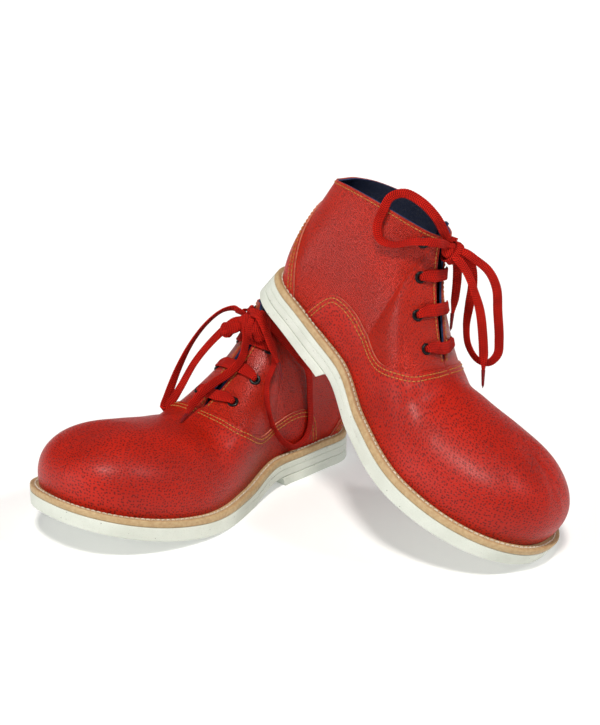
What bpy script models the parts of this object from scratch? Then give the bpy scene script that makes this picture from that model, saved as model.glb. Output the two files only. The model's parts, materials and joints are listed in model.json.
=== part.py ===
"""A pair of bulb-toe lace-up ankle boots: the left one stands flat, the right one leans on it, toe down.

Each boot is modelled in its own frame, in millimetres: x runs forward from the back of the sole, y towards
the boot's outer side and z up from the ground under the heel. The right boot is the left one mirrored.
"""

import math

import bmesh
import bpy
import numpy as np
from mathutils import Euler, Matrix, Vector

MM = 0.001

# Sole outline and profile
LENGTH = 330.0
HEEL_END, HEEL_HALF, HEEL_POWER = 35.0, 33.7, 2.3
WAIST_AT, WAIST_HALF = 86.5, 34.2
BULB_AT, BULB_HALF, TOE_POWER = 228.0, 76.7, 2.26
SWAY = 2.7                      # how far the front of the last is set to the outer side
HEEL_BLOCK = 8.7
OUTSOLE = 12.3
WELT = 5.8
TOE_SPRING, SPRING_POWER = 30.6, 1.74
BREAST_TOP, BREAST_FOOT = 103.0, 99.0
WAIST_END, TREAD_END = 155.0, 180.0
GAP = 0.3                       # between pieces that touch
LAYER_GAP = 0.7                 # between curved layers of the sole
WELT_RING = 15.0
BOARD_INSET = 16.0              # insole board and footbed, inside the welt ring
INSOLE, FOOTBED = (1.9, 4.4), (4.7, 7.7)        # faces above the outsole's top
SHANK_SPAN, SHANK_HALF, SHANK_THICK = (60, 151), 7, 1.5

# Upper
UPPER_INSET_HEEL, UPPER_INSET = 6.5, 9.1
LEATHER = 1.4
COUNTER_OFF, COUNTER_THICK = -2.6, 0.8          # inner face below the upper's base surface, and thickness
PUFF_OFF, PUFF_THICK = -2.4, 0.9
LINING_OFF, LINING_THICK = -4.6, 1.2
U_HEEL, U_BULB = 0.14, 0.62     # where the rounded heel end stops and the bulb starts along the feather line
U_CORNER, U_THROAT = 0.32, 0.54
SEAM_GAP = 0.013                # butt gap at the seams, as a share of a rib

# Laces
LACE_RADIUS = 1.2               # where it runs through the eyelets
CORD_RADIUS = 1.6               # loops and tails of the bow
CORD_SPACING = 9.5
AGLET_RADIUS = 1.8
KNOT_SIZE = (8.4, 7.6, 6.6)

# Where each boot's heel base centre is and how the boot is turned: yaw, pitch, roll in degrees
HEEL_CENTRE = 50.0
LEFT_PLACE, LEFT_TURN = (0.0, 0.0, 0.0), (223.4, 0.0, 0.0)
RIGHT_PLACE, RIGHT_TURN = (7.8, -71.0, 150.4), (-39.2, 37.8, -11.4)

# Topline and ridge of the upper, by place along the feather line: (u, x, y, z)
TOPLINE = [(0, -13, 0, 119), (0.07, -9, 16, 123), (0.14, 7, 25.5, 132.5), (0.20, 32, 29.5, 143),
           (0.26, 63, 26, 152.5), (0.30, 83, 15, 157), (0.32, 88, 7, 158)]
RIDGE = [(0.32, 88, 7, 158), (0.35, 91, 6, 151), (0.40, 107, 5.5, 129), (0.45, 126, 5, 110),
         (0.495, 146.5, 4, 92.5), (0.54, 164, 0, 79), (0.62, 190, 0, 78), (0.72, 218, 0, 82),
         (0.82, 240, 0, 86.5), (0.92, 256, 0, 88), (1, 266, 0, 88)]
# Where the ribs stop spreading outwards at the top, behind and in front of the topline corner
SPREAD_FROM, SPREAD_TO = 0.22, 0.38
# Ribs that rise from the feather line: (u, outward lean, pull at the foot, pull at the top, upwardness there)
RIBS = [(0, 0.56, 0.33, 0.33, 1), (0.10, 0.44, 0.33, 0.33, 1), (0.20, 0.22, 0.33, 0.33, 1),
        (0.27, 0.15, 0.33, 0.32, 0.92), (0.30, 0.13, 0.33, 0.32, 0.76), (0.32, 0.12, 0.33, 0.31, 0.64),
        (0.36, 0.12, 0.33, 0.31, 0.52), (0.41, 0.12, 0.35, 0.32, 0.40), (0.45, 0.12, 0.35, 0.32, 0.30),
        (0.50, 0.13, 0.36, 0.33, 0.15), (0.54, 0.15, 0.38, 0.34, 0), (0.62, 0.17, 0.40, 0.38, 0),
        (0.80, 0.15, 0.48, 0.50, 0), (1, 0.12, 0.50, 0.54, 0)]
# Upper edge of the vamp with its wing, and of the heel patch: (u, share of the rib)
WING = [(0.178, 0.03), (0.188, 0.15), (0.200, 0.23), (0.215, 0.28), (0.245, 0.30),
        (0.278, 0.285), (0.315, 0.25), (0.353, 0.25), (0.388, 0.29), (0.425, 0.37), (0.46, 0.465),
        (0.49, 0.57), (0.515, 0.71), (0.533, 0.86), (0.54, 1.0)]
PATCH = [(0, 0.76), (0.035, 0.71), (0.072, 0.47), (0.102, 0.25), (0.124, 0.10), (0.14, 0.03)]
LINING_TOP = [(0, 0.985), (0.24, 0.985), (0.27, 0.82), (0.30, 0.66), (0.33, 0.58), (0.40, 0.60), (0.535, 0.66),
              (0.545, 1)]
# Eyelet centres and the point on the facing edge that each lace bar crosses
EYELETS = [(0.487, 0.80), (0.430, 0.78), (0.376, 0.83), (0.298, 0.92)]
BAR_EDGES = [0.505, 0.450, 0.397, 0.343]

# Bows: centre of each knot in its boot's frame, then the loops, tails and aglets in the world, in millimetres
LEFT_KNOT, RIGHT_KNOT = (105, 0, 151), (98.5, 0, 155)
LEFT_BOW = {
    "loop_a": [(-50, -31, 154), (-54, -28, 155), (-64, -26, 152), (-77, -28, 142), (-91, -34, 125),
               (-103, -42, 103), (-112, -48, 80), (-115, -50, 71), (-109, -50, 76), (-101, -52, 89),
               (-88, -46, 111), (-73, -42, 129), (-57, -40, 144), (-52, -39, 147)],
    "loop_b": [(-30, -46, 154), (-22, -46, 146), (-11, -47, 133), (2, -44, 116), (11, -40, 102),
               (13, -36, 74), (13, -35, 48), (8, -37, 35), (-1, -47, 32), (-11, -58, 42), (-20, -72, 62),
               (-24, -80, 86), (-24, -71, 102), (-18, -64, 118), (-20, -57, 132), (-27, -53, 141),
               (-31, -45, 143)],
    "tail_a": [(-42, -48, 143), (-43, -56, 131), (-47, -63, 119), (-58, -69, 109), (-69, -74, 103),
               (-80, -81, 96), (-89, -87, 86), (-93, -98, 82)],
    "tail_b": [(-38, -48, 158), (-32, -55, 158), (-26, -63, 149), (-22, -67, 138), (-17, -70, 126),
               (-14, -71, 118)],
}
LEFT_AGLETS = {
    "aglet_a": [(-93.4, -99, 81.8), (-97, -112, 81)],
    "aglet_b": [(-13.8, -71, 116.8), (-11, -72, 104)],
}
RIGHT_BOW = {
    "loop_a": [(122, -134, 252), (119, -139, 259), (113, -143, 270), (102, -140, 281), (88, -134, 287),
               (77, -132, 283), (71, -131, 271), (67, -129, 258), (69, -132, 248), (79, -137, 245),
               (95, -146, 250), (108, -153, 252), (116, -150, 250), (120, -142, 247)],
    "loop_b": [(138, -135, 238), (146, -134, 232), (158, -132, 221), (165, -130, 206), (167, -128, 185),
               (169, -127, 160), (168, -127, 147), (161, -127, 140), (152, -126, 142), (144, -124, 154),
               (142, -122, 170), (144, -122, 189), (146, -124, 208), (144, -126, 224), (138, -127, 231)],
    "tail_a": [(131, -139, 234), (134, -140, 231), (140, -142, 222), (146, -143, 207), (151, -144, 190),
               (154, -145, 166), (155, -145, 148), (155, -145, 138)],
    "tail_b": [(131, -121, 230), (133, -119, 225), (134, -114, 210), (133, -112, 193), (131, -111, 176)],
}
RIGHT_AGLETS = {
    "aglet_a": [(155, -145, 137), (155, -145, 124)],
    "aglet_b": [(130.8, -111, 174.9), (130, -110, 162)],
}

COLOURS = {
    "rubber": ((0.78, 0.79, 0.74, 1), 0.55, 0.0),
    "welt": ((0.62, 0.42, 0.24, 1), 0.6, 0.0),
    "board": ((0.45, 0.33, 0.22, 1), 0.8, 0.0),
    "steel": ((0.5, 0.5, 0.52, 1), 0.35, 1.0),
    "leather": ((0.52, 0.03, 0.02, 1), 0.42, 0.0),
    "navy": ((0.02, 0.03, 0.08, 1), 0.5, 0.0),
    "stiffener": ((0.7, 0.64, 0.52, 1), 0.8, 0.0),
    "eyelet": ((0.01, 0.01, 0.01, 1), 0.25, 0.6),
    "lace": ((0.55, 0.02, 0.015, 1), 0.85, 0.0),
    "aglet": ((0.35, 0.01, 0.01, 1), 0.3, 0.0),
}


def smooth(t):
    t = min(max(t, 0.0), 1.0)
    return t * t * (3 - 2 * t)


def table_value(table, u):
    """Piecewise straight value of a two-column table."""
    return float(np.interp(u, [row[0] for row in table], [row[1] for row in table]))


def spline(table, u):
    """Smooth curve through the rows of a table whose first column is the parameter."""
    rows = np.array(table, dtype=float)
    keys, values = rows[:, 0], rows[:, 1:]
    slopes = np.gradient(values, keys, axis=0)
    i = int(np.clip(np.searchsorted(keys, u) - 1, 0, len(keys) - 2))
    step = keys[i + 1] - keys[i]
    t = (u - keys[i]) / step
    return ((2 * t**3 - 3 * t**2 + 1) * values[i] + (t**3 - 2 * t**2 + t) * step * slopes[i]
            + (3 * t**2 - 2 * t**3) * values[i + 1] + (t**3 - t**2) * step * slopes[i + 1])


# ---- Sole shape ----

def sole_edge(u):
    """Outer-side point of the sole outline, from the back of the heel (u=0) to the toe tip (u=1)."""
    if u < U_HEEL:
        angle = u / U_HEEL * math.pi / 2
        return np.array([HEEL_END * (1 - abs(math.cos(angle)) ** (2 / HEEL_POWER)),
                         HEEL_HALF * math.sin(angle) ** (2 / HEEL_POWER)])
    if u < U_BULB:
        x = HEEL_END + (u - U_HEEL) / (U_BULB - U_HEEL) * (BULB_AT - HEEL_END)
        to_waist = smooth((x - HEEL_END) / (WAIST_AT - HEEL_END))
        to_bulb = smooth((x - WAIST_AT) / (BULB_AT - WAIST_AT))
        return np.array([x, HEEL_HALF + (WAIST_HALF - HEEL_HALF) * to_waist
                         + (BULB_HALF - WAIST_HALF) * to_bulb])
    angle = (u - U_BULB) / (1 - U_BULB) * math.pi / 2
    return np.array([BULB_AT + (LENGTH - BULB_AT) * math.sin(angle) ** (2 / TOE_POWER),
                     BULB_HALF * abs(math.cos(angle)) ** (2 / TOE_POWER)])


def outline_normal(u):
    step = 1e-3
    before, after = sole_edge(max(u - step, 0)), sole_edge(min(u + step, 1))
    if u <= step:
        before = after * [1, -1]
    if u >= 1 - step:
        after = before * [1, -1]
    along = after - before
    return np.array([-along[1], along[0]]) / np.hypot(*along)


def inset_edge(u, inset):
    point = sole_edge(u) - inset * outline_normal(u)
    return np.array([point[0], max(point[1], 0.0)])


def ground(x):
    """Height of the outsole's underside."""
    drop = HEEL_BLOCK * (1 - smooth((x - BREAST_TOP) / (WAIST_END - BREAST_TOP)))
    return drop + TOE_SPRING * max((x - TREAD_END) / (LENGTH - TREAD_END), 0.0) ** SPRING_POWER


def sway(x):
    return SWAY * smooth((x - HEEL_END) / (WAIST_AT - HEEL_END))


# ---- Upper shape ----

def top_point(u):
    return spline(TOPLINE if u <= U_CORNER else RIDGE, u)


def rib(u):
    """Four control points of the rib that rises from the feather line at u."""
    inset = UPPER_INSET_HEEL + (UPPER_INSET - UPPER_INSET_HEEL) * smooth(u / 0.3)
    foot = inset_edge(u, inset)
    normal = outline_normal(u)
    start = np.array([foot[0], foot[1], ground(foot[0]) + OUTSOLE + WELT + LAYER_GAP])
    end = top_point(u)
    lean, pull_foot, pull_top, upward = spline(RIBS, u)
    upward = min(max(upward, 0.0), 1.0)
    leave = np.array([normal[0] * lean, normal[1] * lean, 1.0])
    leave /= np.linalg.norm(leave)
    if u > U_CORNER:
        along = top_point(min(u + 1e-3, 1)) - top_point(max(u - 1e-3, U_CORNER + 1e-4))
        along /= np.linalg.norm(along)
    else:
        along = np.array([1.0, 0.0, 0.0])
    spread = 1 - smooth((u - SPREAD_FROM) / (SPREAD_TO - SPREAD_FROM))
    rise = np.array([0.15 * normal[0] * spread, 0.1 * normal[1] * spread, 1.0])
    turn = smooth((u - U_BULB) / (1 - U_BULB)) * math.pi / 2
    inward = np.array([0.0, -1.0, 0.0]) * math.cos(turn) - along * math.sin(turn)
    arrive = rise * upward + inward * (1 - upward)
    arrive /= np.linalg.norm(arrive)
    chord = np.linalg.norm(end - start)
    return start, start + leave * chord * pull_foot, end - arrive * chord * pull_top, end


def half_surface(u, v):
    if u < 0 or u > 1:
        point = half_surface(-u if u < 0 else 2 - u, v)
        return point * [1, -1, 1]
    a, b, c, d = rib(u)
    w = 1 - v
    return w**3 * a + 3 * w * w * v * b + 3 * w * v * v * c + v**3 * d


def surface_normal(u, v):
    step = 2e-3
    if u == 1:
        v = min(v, 0.97)
    low, high = max(v - step, 0.0), min(v + step, 1.0)
    across = half_surface(u, high) - half_surface(u, low)
    along = half_surface(u + step, v) - half_surface(u - step, v)
    normal = np.cross(across, along)
    if u in (0, 1) or (v == 1 and u > U_THROAT):
        normal[1] = 0.0
    return normal / np.linalg.norm(normal)


def upper_point(u, v, side, off=0.0):
    """Point of the upper on one side (1 outer, -1 inner), moved off the base surface by off."""
    point = half_surface(u, v) + off * surface_normal(u, v)
    return np.array([point[0], side * point[1] + sway(point[0]), point[2]])


# ---- Object helpers ----

def material(name, finish):
    colour, roughness, metallic = COLOURS[finish]
    made = bpy.data.materials.new(name)
    made.use_nodes = True
    shader = made.node_tree.nodes["Principled BSDF"]
    shader.inputs["Base Color"].default_value = colour
    shader.inputs["Roughness"].default_value = roughness
    shader.inputs["Metallic"].default_value = metallic
    return made


def add_object(boot, name, data, finish, parent=None):
    made = bpy.data.objects.new(boot["prefix"] + name, data)
    made.data.materials.append(material(boot["prefix"] + name, finish))
    PARTS.objects.link(made)
    made.parent = parent or boot["empty"]
    return made


def boot_mesh(boot, name, points, faces, origin=(0, 0, 0)):
    """Mesh from millimetre points in the boot's frame, mirrored for the right boot."""
    hand = boot["hand"]
    shift = np.array([HEEL_CENTRE, 0, 0]) + np.array(origin)
    placed = [((p[0] - shift[0]) * MM, hand * (p[1] - shift[1]) * MM, (p[2] - shift[2]) * MM) for p in points]
    if hand < 0:
        faces = [tuple(reversed(face)) for face in faces]
    mesh = bpy.data.meshes.new(boot["prefix"] + name)
    mesh.from_pydata(placed, [], faces)
    mesh.update()
    return mesh


def weld_and_face_out(mesh):
    work = bmesh.new()
    work.from_mesh(mesh)
    bmesh.ops.remove_doubles(work, verts=work.verts, dist=0.00002)
    bmesh.ops.dissolve_degenerate(work, edges=work.edges, dist=0.00001)
    bmesh.ops.recalc_face_normals(work, faces=work.faces)
    work.to_mesh(mesh)
    work.free()


def grid_faces(columns, rows, start=0):
    return [(start + i * rows + j, start + (i + 1) * rows + j, start + (i + 1) * rows + j + 1,
             start + i * rows + j + 1) for i in range(columns - 1) for j in range(rows - 1)]


def upper_shell(boot, name, sides, stations, low, high, rows, inner, thickness, finish):
    """Leather shell between two edges of the upper, from its inner face outwards."""
    points, faces = [], []
    for side in sides:
        first = len(points)
        for u in stations:
            bottom, top = low(u), high(u)
            for j in range(rows):
                v = bottom + (top - bottom) * j / (rows - 1)
                points.append(upper_point(u, v, side, inner))
        made = grid_faces(len(stations), rows, first)
        faces += made if side > 0 else [tuple(reversed(face)) for face in made]
    mesh = boot_mesh(boot, name, points, faces)
    work = bmesh.new()
    work.from_mesh(mesh)
    bmesh.ops.remove_doubles(work, verts=work.verts, dist=0.00003)
    work.to_mesh(mesh)
    work.free()
    made = add_object(boot, name, mesh, finish)
    solid = made.modifiers.new("thickness", "SOLIDIFY")
    solid.thickness = thickness * MM
    solid.offset = 1
    mesh.shade_smooth()
    return made


def plate_points(u, inset, side):
    x, y = inset_edge(u, inset)
    return x, side * y + sway(x)


def sole_plate(boot, name, inset, low, high, stations, finish, flat_bottom=False):
    """Plate with the sole's outline between two heights above the outsole's underside."""
    points = []
    for u in stations:
        for side, height in ((1, low), (-1, low), (-1, high), (1, high)):
            x, y = plate_points(u, inset, side)
            base = 0.0 if flat_bottom else ground(x)
            points.append((x, y, base + height))
    count = len(stations)
    faces = [(0, 1, 2, 3), tuple(4 * (count - 1) + k for k in (3, 2, 1, 0))]
    for i in range(count - 1):
        for k in range(4):
            a, b = 4 * i + k, 4 * i + (k + 1) % 4
            faces.append((a, a + 4, b + 4, b))
    mesh = boot_mesh(boot, name, points, faces)
    weld_and_face_out(mesh)
    return add_object(boot, name, mesh, finish)


def sole_ring(boot, name, outer, inner, low, high, stations, finish):
    loop = [(u, 1) for u in stations] + [(u, -1) for u in reversed(stations[1:-1])]
    points = []
    for u, side in loop:
        for inset, height in ((outer, low), (inner, low), (inner, high), (outer, high)):
            x, y = plate_points(u, inset, side)
            points.append((x, y, ground(x) + height))
    faces = []
    for i in range(len(loop)):
        j = (i + 1) % len(loop)
        for k in range(4):
            faces.append((4 * i + k, 4 * j + k, 4 * j + (k + 1) % 4, 4 * i + (k + 1) % 4))
    mesh = boot_mesh(boot, name, points, faces)
    weld_and_face_out(mesh)
    return add_object(boot, name, mesh, finish)


def tube(boot, name, route, radius, finish, resolution=2, local=True):
    """Tube along route points in millimetres, in the boot's frame or in the world's."""
    curve = bpy.data.curves.new(boot["prefix"] + name, "CURVE")
    curve.dimensions = "3D"
    curve.bevel_depth = radius * MM
    curve.bevel_resolution = resolution
    curve.use_fill_caps = True
    line = curve.splines.new("POLY")
    line.points.add(len(route) - 1)
    to_boot = boot["empty"].matrix_basis.inverted()
    for target, point in zip(line.points, route):
        if local:
            place = Vector(((point[0] - HEEL_CENTRE) * MM, boot["hand"] * point[1] * MM, point[2] * MM))
        else:
            place = to_boot @ (Vector(point) * MM)
        target.co = (*place, 1)
    return add_object(boot, name, curve, finish)


def through(points, spacing):
    """Points at an even spacing on the smooth curve through the given ones."""
    knots = np.array(points, dtype=float)
    keys = np.concatenate([[0], np.cumsum(np.linalg.norm(np.diff(knots, axis=0), axis=1) ** 0.5)])
    table = np.column_stack([keys, knots])
    fine = np.array([spline(table, t) for t in np.linspace(0, keys[-1], 30 * len(knots))])
    run = np.concatenate([[0], np.cumsum(np.linalg.norm(np.diff(fine, axis=0), axis=1))])
    count = max(int(round(run[-1] / spacing)), 2)
    marks = np.linspace(0, run[-1], count + 1)
    return [tuple(float(np.interp(m, run, fine[:, k])) for k in range(3)) for m in marks]


# ---- The pieces ----

SOLE_U = [0, 0.015, 0.04, 0.075, 0.115, 0.17, 0.24, 0.305, 0.35, 0.40, 0.45, 0.50, 0.56, 0.62, 0.68, 0.74,
          0.80, 0.86, 0.92, 0.965, 0.99, 1]
HEEL_U = [u for u in SOLE_U if u < 0.3] + [0.305]


def make_sole(boot):
    sole_plate(boot, "outsole", 0, 0, OUTSOLE, SOLE_U, "rubber")
    block = sole_plate(boot, "heel_block", 0, 0, HEEL_BLOCK - GAP, HEEL_U, "rubber", flat_bottom=True)
    for vertex in block.data.vertices:
        forward = vertex.co.x / MM + HEEL_CENTRE
        if forward > BREAST_FOOT - 4 and vertex.co.z < MM:
            vertex.co.x -= (BREAST_TOP - BREAST_FOOT) * MM
    base = OUTSOLE + LAYER_GAP
    sole_ring(boot, "welt", 0, WELT_RING, base, OUTSOLE + WELT, SOLE_U, "welt")
    sole_plate(boot, "insole", BOARD_INSET, base + INSOLE[0], base + INSOLE[1], SOLE_U[1:-1], "board")
    sole_plate(boot, "footbed", BOARD_INSET, base + FOOTBED[0], base + FOOTBED[1], SOLE_U[1:-1], "navy")
    points = [(x, y, ground(x) + z) for x in range(*SHANK_SPAN, 15)
              for y, z in ((-SHANK_HALF, base), (SHANK_HALF, base), (SHANK_HALF, base + SHANK_THICK),
                           (-SHANK_HALF, base + SHANK_THICK))]
    count = len(points) // 4
    faces = [(0, 1, 2, 3), tuple(4 * (count - 1) + k for k in (3, 2, 1, 0))]
    faces += [(4 * i + k, 4 * i + 4 + k, 4 * i + 4 + (k + 1) % 4, 4 * i + (k + 1) % 4)
              for i in range(count - 1) for k in range(4)]
    mesh = boot_mesh(boot, "shank", points, faces)
    weld_and_face_out(mesh)
    add_object(boot, "shank", mesh, "steel")


def quarter_foot(u):
    if u < 0.144:
        return table_value(PATCH, u) + SEAM_GAP
    if u < 0.176:
        return 0.0
    return table_value(WING, u) + SEAM_GAP


QUARTER_U = [0.004, 0.035, 0.072, 0.102, 0.124, 0.14, 0.148, 0.172, 0.180, 0.188, 0.20, 0.215, 0.245,
             0.278, 0.30, 0.32, 0.335, 0.37, 0.41, 0.45, 0.485, 0.513, 0.53]
BULB_U = [0.545, 0.60, 0.67, 0.74, 0.81, 0.88, 0.94, 0.98, 1]
VAMP_U = [0.178, 0.188, 0.20, 0.215, 0.245, 0.278, 0.30, 0.335, 0.37, 0.41, 0.45, 0.485, 0.513, 0.533]
PATCH_U = [0, 0.035, 0.072, 0.102, 0.124, 0.14]
LINING_U = [0, 0.035, 0.072, 0.102, 0.14, 0.172, 0.205, 0.25, 0.30, 0.335, 0.37, 0.41, 0.45, 0.485, 0.513,
            0.535] + BULB_U


def drill(boot, shell, centres):
    """Cut the eyelet holes through a quarter with one joined cutter."""
    for number, (u, v, side) in enumerate(centres):
        place = upper_point(u, v, side)
        normal = upper_normal(u, v, side)
        bpy.ops.mesh.primitive_cylinder_add(vertices=12, radius=3.3 * MM, depth=12 * MM)
        cutter = bpy.context.object
        cutter.name = f"{shell.name}_hole_{number}"
        for owner in cutter.users_collection:
            owner.objects.unlink(cutter)
        CUTTERS.objects.link(cutter)
        cutter.hide_render = True
        cutter.display_type = "WIRE"
        cutter.parent = boot["empty"]
        cutter.matrix_basis = seat_matrix(boot, place, normal)
        hole = shell.modifiers.new(f"eyelet_hole_{number}", "BOOLEAN")
        hole.operation = "DIFFERENCE"
        hole.object = cutter


def upper_normal(u, v, side):
    normal = surface_normal(u, v)
    return np.array([normal[0], side * normal[1], normal[2]])


def seat_matrix(boot, place, normal):
    """Matrix that puts a turned piece at a point of the upper with its +Z along the normal."""
    hand = boot["hand"]
    origin = Vector(((place[0] - HEEL_CENTRE) * MM, hand * place[1] * MM, place[2] * MM))
    axis = Vector((normal[0], hand * normal[1], normal[2]))
    return Matrix.Translation(origin) @ axis.to_track_quat("Z", "Y").to_matrix().to_4x4()


def make_upper(boot):
    for name, side in (("quarter_outer", 1), ("quarter_inner", -1)):
        shell = upper_shell(boot, name, (side,), QUARTER_U, quarter_foot, lambda u: 1.0, 6,
                            0, LEATHER, "leather")
        drill(boot, shell, [(u, v, side) for u, v in EYELETS])
    upper_shell(boot, "vamp", (1, -1), VAMP_U + BULB_U, lambda u: 0.0, lambda u: table_value(WING, u), 6,
                0, LEATHER, "leather")
    upper_shell(boot, "heel_patch", (1, -1), PATCH_U, lambda u: 0.0, lambda u: table_value(PATCH, u), 6,
                0, LEATHER, "leather")
    upper_shell(boot, "heel_counter", (1, -1), PATCH_U + [0.172, 0.20], lambda u: 0.02, lambda u: 0.46 - u, 6,
                COUNTER_OFF, COUNTER_THICK, "stiffener")
    upper_shell(boot, "toe_puff", (1, -1), BULB_U[3:], lambda u: 0.2, lambda u: 1.0, 5,
                PUFF_OFF, PUFF_THICK, "stiffener")
    upper_shell(boot, "lining", (1, -1), LINING_U, lambda u: 0.01, lambda u: table_value(LINING_TOP, u), 5,
                LINING_OFF, LINING_THICK, "navy")


TONGUE_HINGE = (157.0, 0.0, 70.0)
TONGUE_U = [0.515, 0.49, 0.46, 0.43, 0.40, 0.37, 0.345, 0.33]
# How far the tongue's side edges reach: (u, v)
TONGUE_SIDE = [(0.33, 0.93), (0.37, 0.87), (0.41, 0.79), (0.52, 0.77)]
TONGUE_OFF, TONGUE_THICK, TONGUE_RISE = -7.4, 1.8, 13.0


def make_tongue(boot):
    hinge = bpy.data.objects.new(boot["prefix"] + "tongue_hinge", None)
    PARTS.objects.link(hinge)
    hinge.parent = boot["empty"]
    hinge.location = ((TONGUE_HINGE[0] - HEEL_CENTRE) * MM, 0, TONGUE_HINGE[2] * MM)
    rows = []
    for u in TONGUE_U:
        shares = np.linspace(table_value(TONGUE_SIDE, u), 1, 4)
        outer = [upper_point(u, v, 1, TONGUE_OFF) for v in shares]
        inner = [upper_point(u, v, -1, TONGUE_OFF) for v in reversed(shares)]
        rows.append(outer + inner)
    rise = np.array(rows[-1]) - np.array(rows[-2])
    rise *= TONGUE_RISE / np.linalg.norm(rise, axis=1)[:, None]
    rows.append(list(np.array(rows[-1]) + rise))
    points = [point for row in rows for point in row]
    faces = [tuple(reversed(face)) for face in grid_faces(len(rows), len(rows[0]))]
    mesh = boot_mesh(boot, "tongue", points, faces, (TONGUE_HINGE[0] - HEEL_CENTRE, 0, TONGUE_HINGE[2]))
    made = add_object(boot, "tongue", mesh, "navy", hinge)
    solid = made.modifiers.new("thickness", "SOLIDIFY")
    solid.thickness = TONGUE_THICK * MM
    solid.offset = 1
    mesh.shade_smooth()


EYELET_PROFILE = [(2.5, 2.8), (4.6, 2.8), (5.0, 2.0), (2.9, 2.0), (2.9, -0.5), (2.3, -0.5)]


def make_eyelets(boot):
    for side, name in ((1, "outer"), (-1, "inner")):
        for number, (u, v) in enumerate(EYELETS, 1):
            mesh = bpy.data.meshes.new("eyelet_profile")
            corners = [(r * MM, 0, z * MM) for r, z in EYELET_PROFILE]
            edges = [(k, (k + 1) % len(corners)) for k in range(len(corners))]
            mesh.from_pydata(corners, edges, [])
            made = add_object(boot, f"eyelet_{name}_{number}", mesh, "eyelet")
            turn = made.modifiers.new("turn", "SCREW")
            turn.steps = turn.render_steps = 8
            turn.use_merge_vertices = True
            turn.merge_threshold = 0.00001
            made.matrix_basis = seat_matrix(boot, upper_point(u, v, side), upper_normal(u, v, side))


BAR_RISE, TOP_RISE, RUN_DEPTH, RUN_SAG = 4.6, 5.2, -3.3, 3.0
BAR_SHARES = (0.35, 0.7)
RUN_SHIFT = -0.055              # how far the long run keeps behind the eyelets, as a share of a rib


def raised(u, v, side, off):
    return tuple(upper_point(u, v, side) + off * upper_normal(u, v, side))


def bar(number, side):
    """Lace bar over the facing gap, from the eyelet on one side to the one on the other."""
    u, v = EYELETS[number]
    edge = BAR_EDGES[number]
    half = [(u + (edge - u) * t, v + (1 - v) * t) for t in (0, *BAR_SHARES, 1)]
    out = [raised(*place, side, BAR_RISE) for place in half]
    return out + [raised(*place, -side, BAR_RISE) for place in reversed(half)]


def run_inside(first, last, side):
    """Lace run under the facing, straight from one eyelet of a side to the next."""
    start, end = (np.array(raised(*EYELETS[k], side, RUN_DEPTH)) for k in (first, last))
    inward = -(upper_normal(*EYELETS[first], side) + upper_normal(*EYELETS[last], side)) / 2
    return [tuple(start + (end - start) * t + RUN_SAG * inward * math.sin(math.pi * t))
            for t in (0, 0.33, 0.67, 1)]


def long_run(side):
    """Lace run from the lowest eyelet up to the top one, behind the two between."""
    depth = RUN_DEPTH - 1.2
    points = [raised(*EYELETS[0], side, RUN_DEPTH)]
    points += [raised(u, v + RUN_SHIFT, side, depth) for u, v in EYELETS[1:3]]
    last = np.array(raised(*EYELETS[3], side, depth))
    middle = (np.array(points[-1]) + last) / 2 - 1.5 * upper_normal(*EYELETS[3], side)
    return points + [tuple(middle), tuple(last)]


def make_lacing(boot):
    knot = boot["knot_local"]
    route = [lace_end(knot, 1), raised(*EYELETS[3], 1, TOP_RISE)]
    route += run_inside(3, 2, 1) + bar(2, 1) + run_inside(2, 1, -1) + bar(1, -1) + run_inside(1, 0, 1)
    route += bar(0, 1) + long_run(-1)
    route += [raised(*EYELETS[3], -1, TOP_RISE), lace_end(knot, -1)]
    tube(boot, "lacing", route, LACE_RADIUS, "lace")


def lace_end(knot, side):
    return (knot[0] - 2, knot[1] + side * (KNOT_SIZE[1] + 1.5), knot[2] - 1)


def make_knot(boot):
    bpy.ops.mesh.primitive_uv_sphere_add(segments=10, ring_count=6, radius=1)
    sphere = bpy.context.object
    mesh = sphere.data
    bpy.data.objects.remove(sphere)
    mesh.transform(Matrix.Diagonal((*[size * MM for size in KNOT_SIZE], 1)))
    made = add_object(boot, "bow_knot", mesh, "lace")
    x, y, z = boot["knot_local"]
    made.location = ((x - HEEL_CENTRE) * MM, boot["hand"] * y * MM, z * MM)


def make_bow(boot):
    for name, route in boot["bow"].items():
        tube(boot, name, through(route, CORD_SPACING), CORD_RADIUS, "lace", local=False)
    for name, route in boot["aglets"].items():
        tube(boot, name, route, AGLET_RADIUS, "aglet", local=False)


PARTS = bpy.data.collections.new("bulb_toe_boots")
CUTTERS = bpy.data.collections.new("cutters")


def boot_frame(prefix, hand, place, turn, knot_local, bow, aglets):
    empty = bpy.data.objects.new(prefix + "boot_frame", None)
    PARTS.objects.link(empty)
    yaw, pitch, roll = (math.radians(angle) for angle in turn)
    turned = Euler((roll, pitch, yaw), "XYZ").to_matrix().to_4x4()
    empty.matrix_basis = Matrix.Translation(Vector(place) * MM) @ turned
    return {"prefix": prefix, "hand": hand, "empty": empty, "knot_local": knot_local, "bow": bow,
            "aglets": aglets}


def main():
    for item in list(bpy.data.objects):
        bpy.data.objects.remove(item)
    bpy.context.scene.collection.children.link(PARTS)
    bpy.context.scene.collection.children.link(CUTTERS)
    boots = (boot_frame("left_", 1, LEFT_PLACE, LEFT_TURN, LEFT_KNOT, LEFT_BOW, LEFT_AGLETS),
             boot_frame("right_", -1, RIGHT_PLACE, RIGHT_TURN, RIGHT_KNOT, RIGHT_BOW, RIGHT_AGLETS))
    for boot in boots:
        make_sole(boot)
        make_upper(boot)
        make_tongue(boot)
        make_eyelets(boot)
        make_knot(boot)
        make_lacing(boot)
        make_bow(boot)


main()
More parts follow.
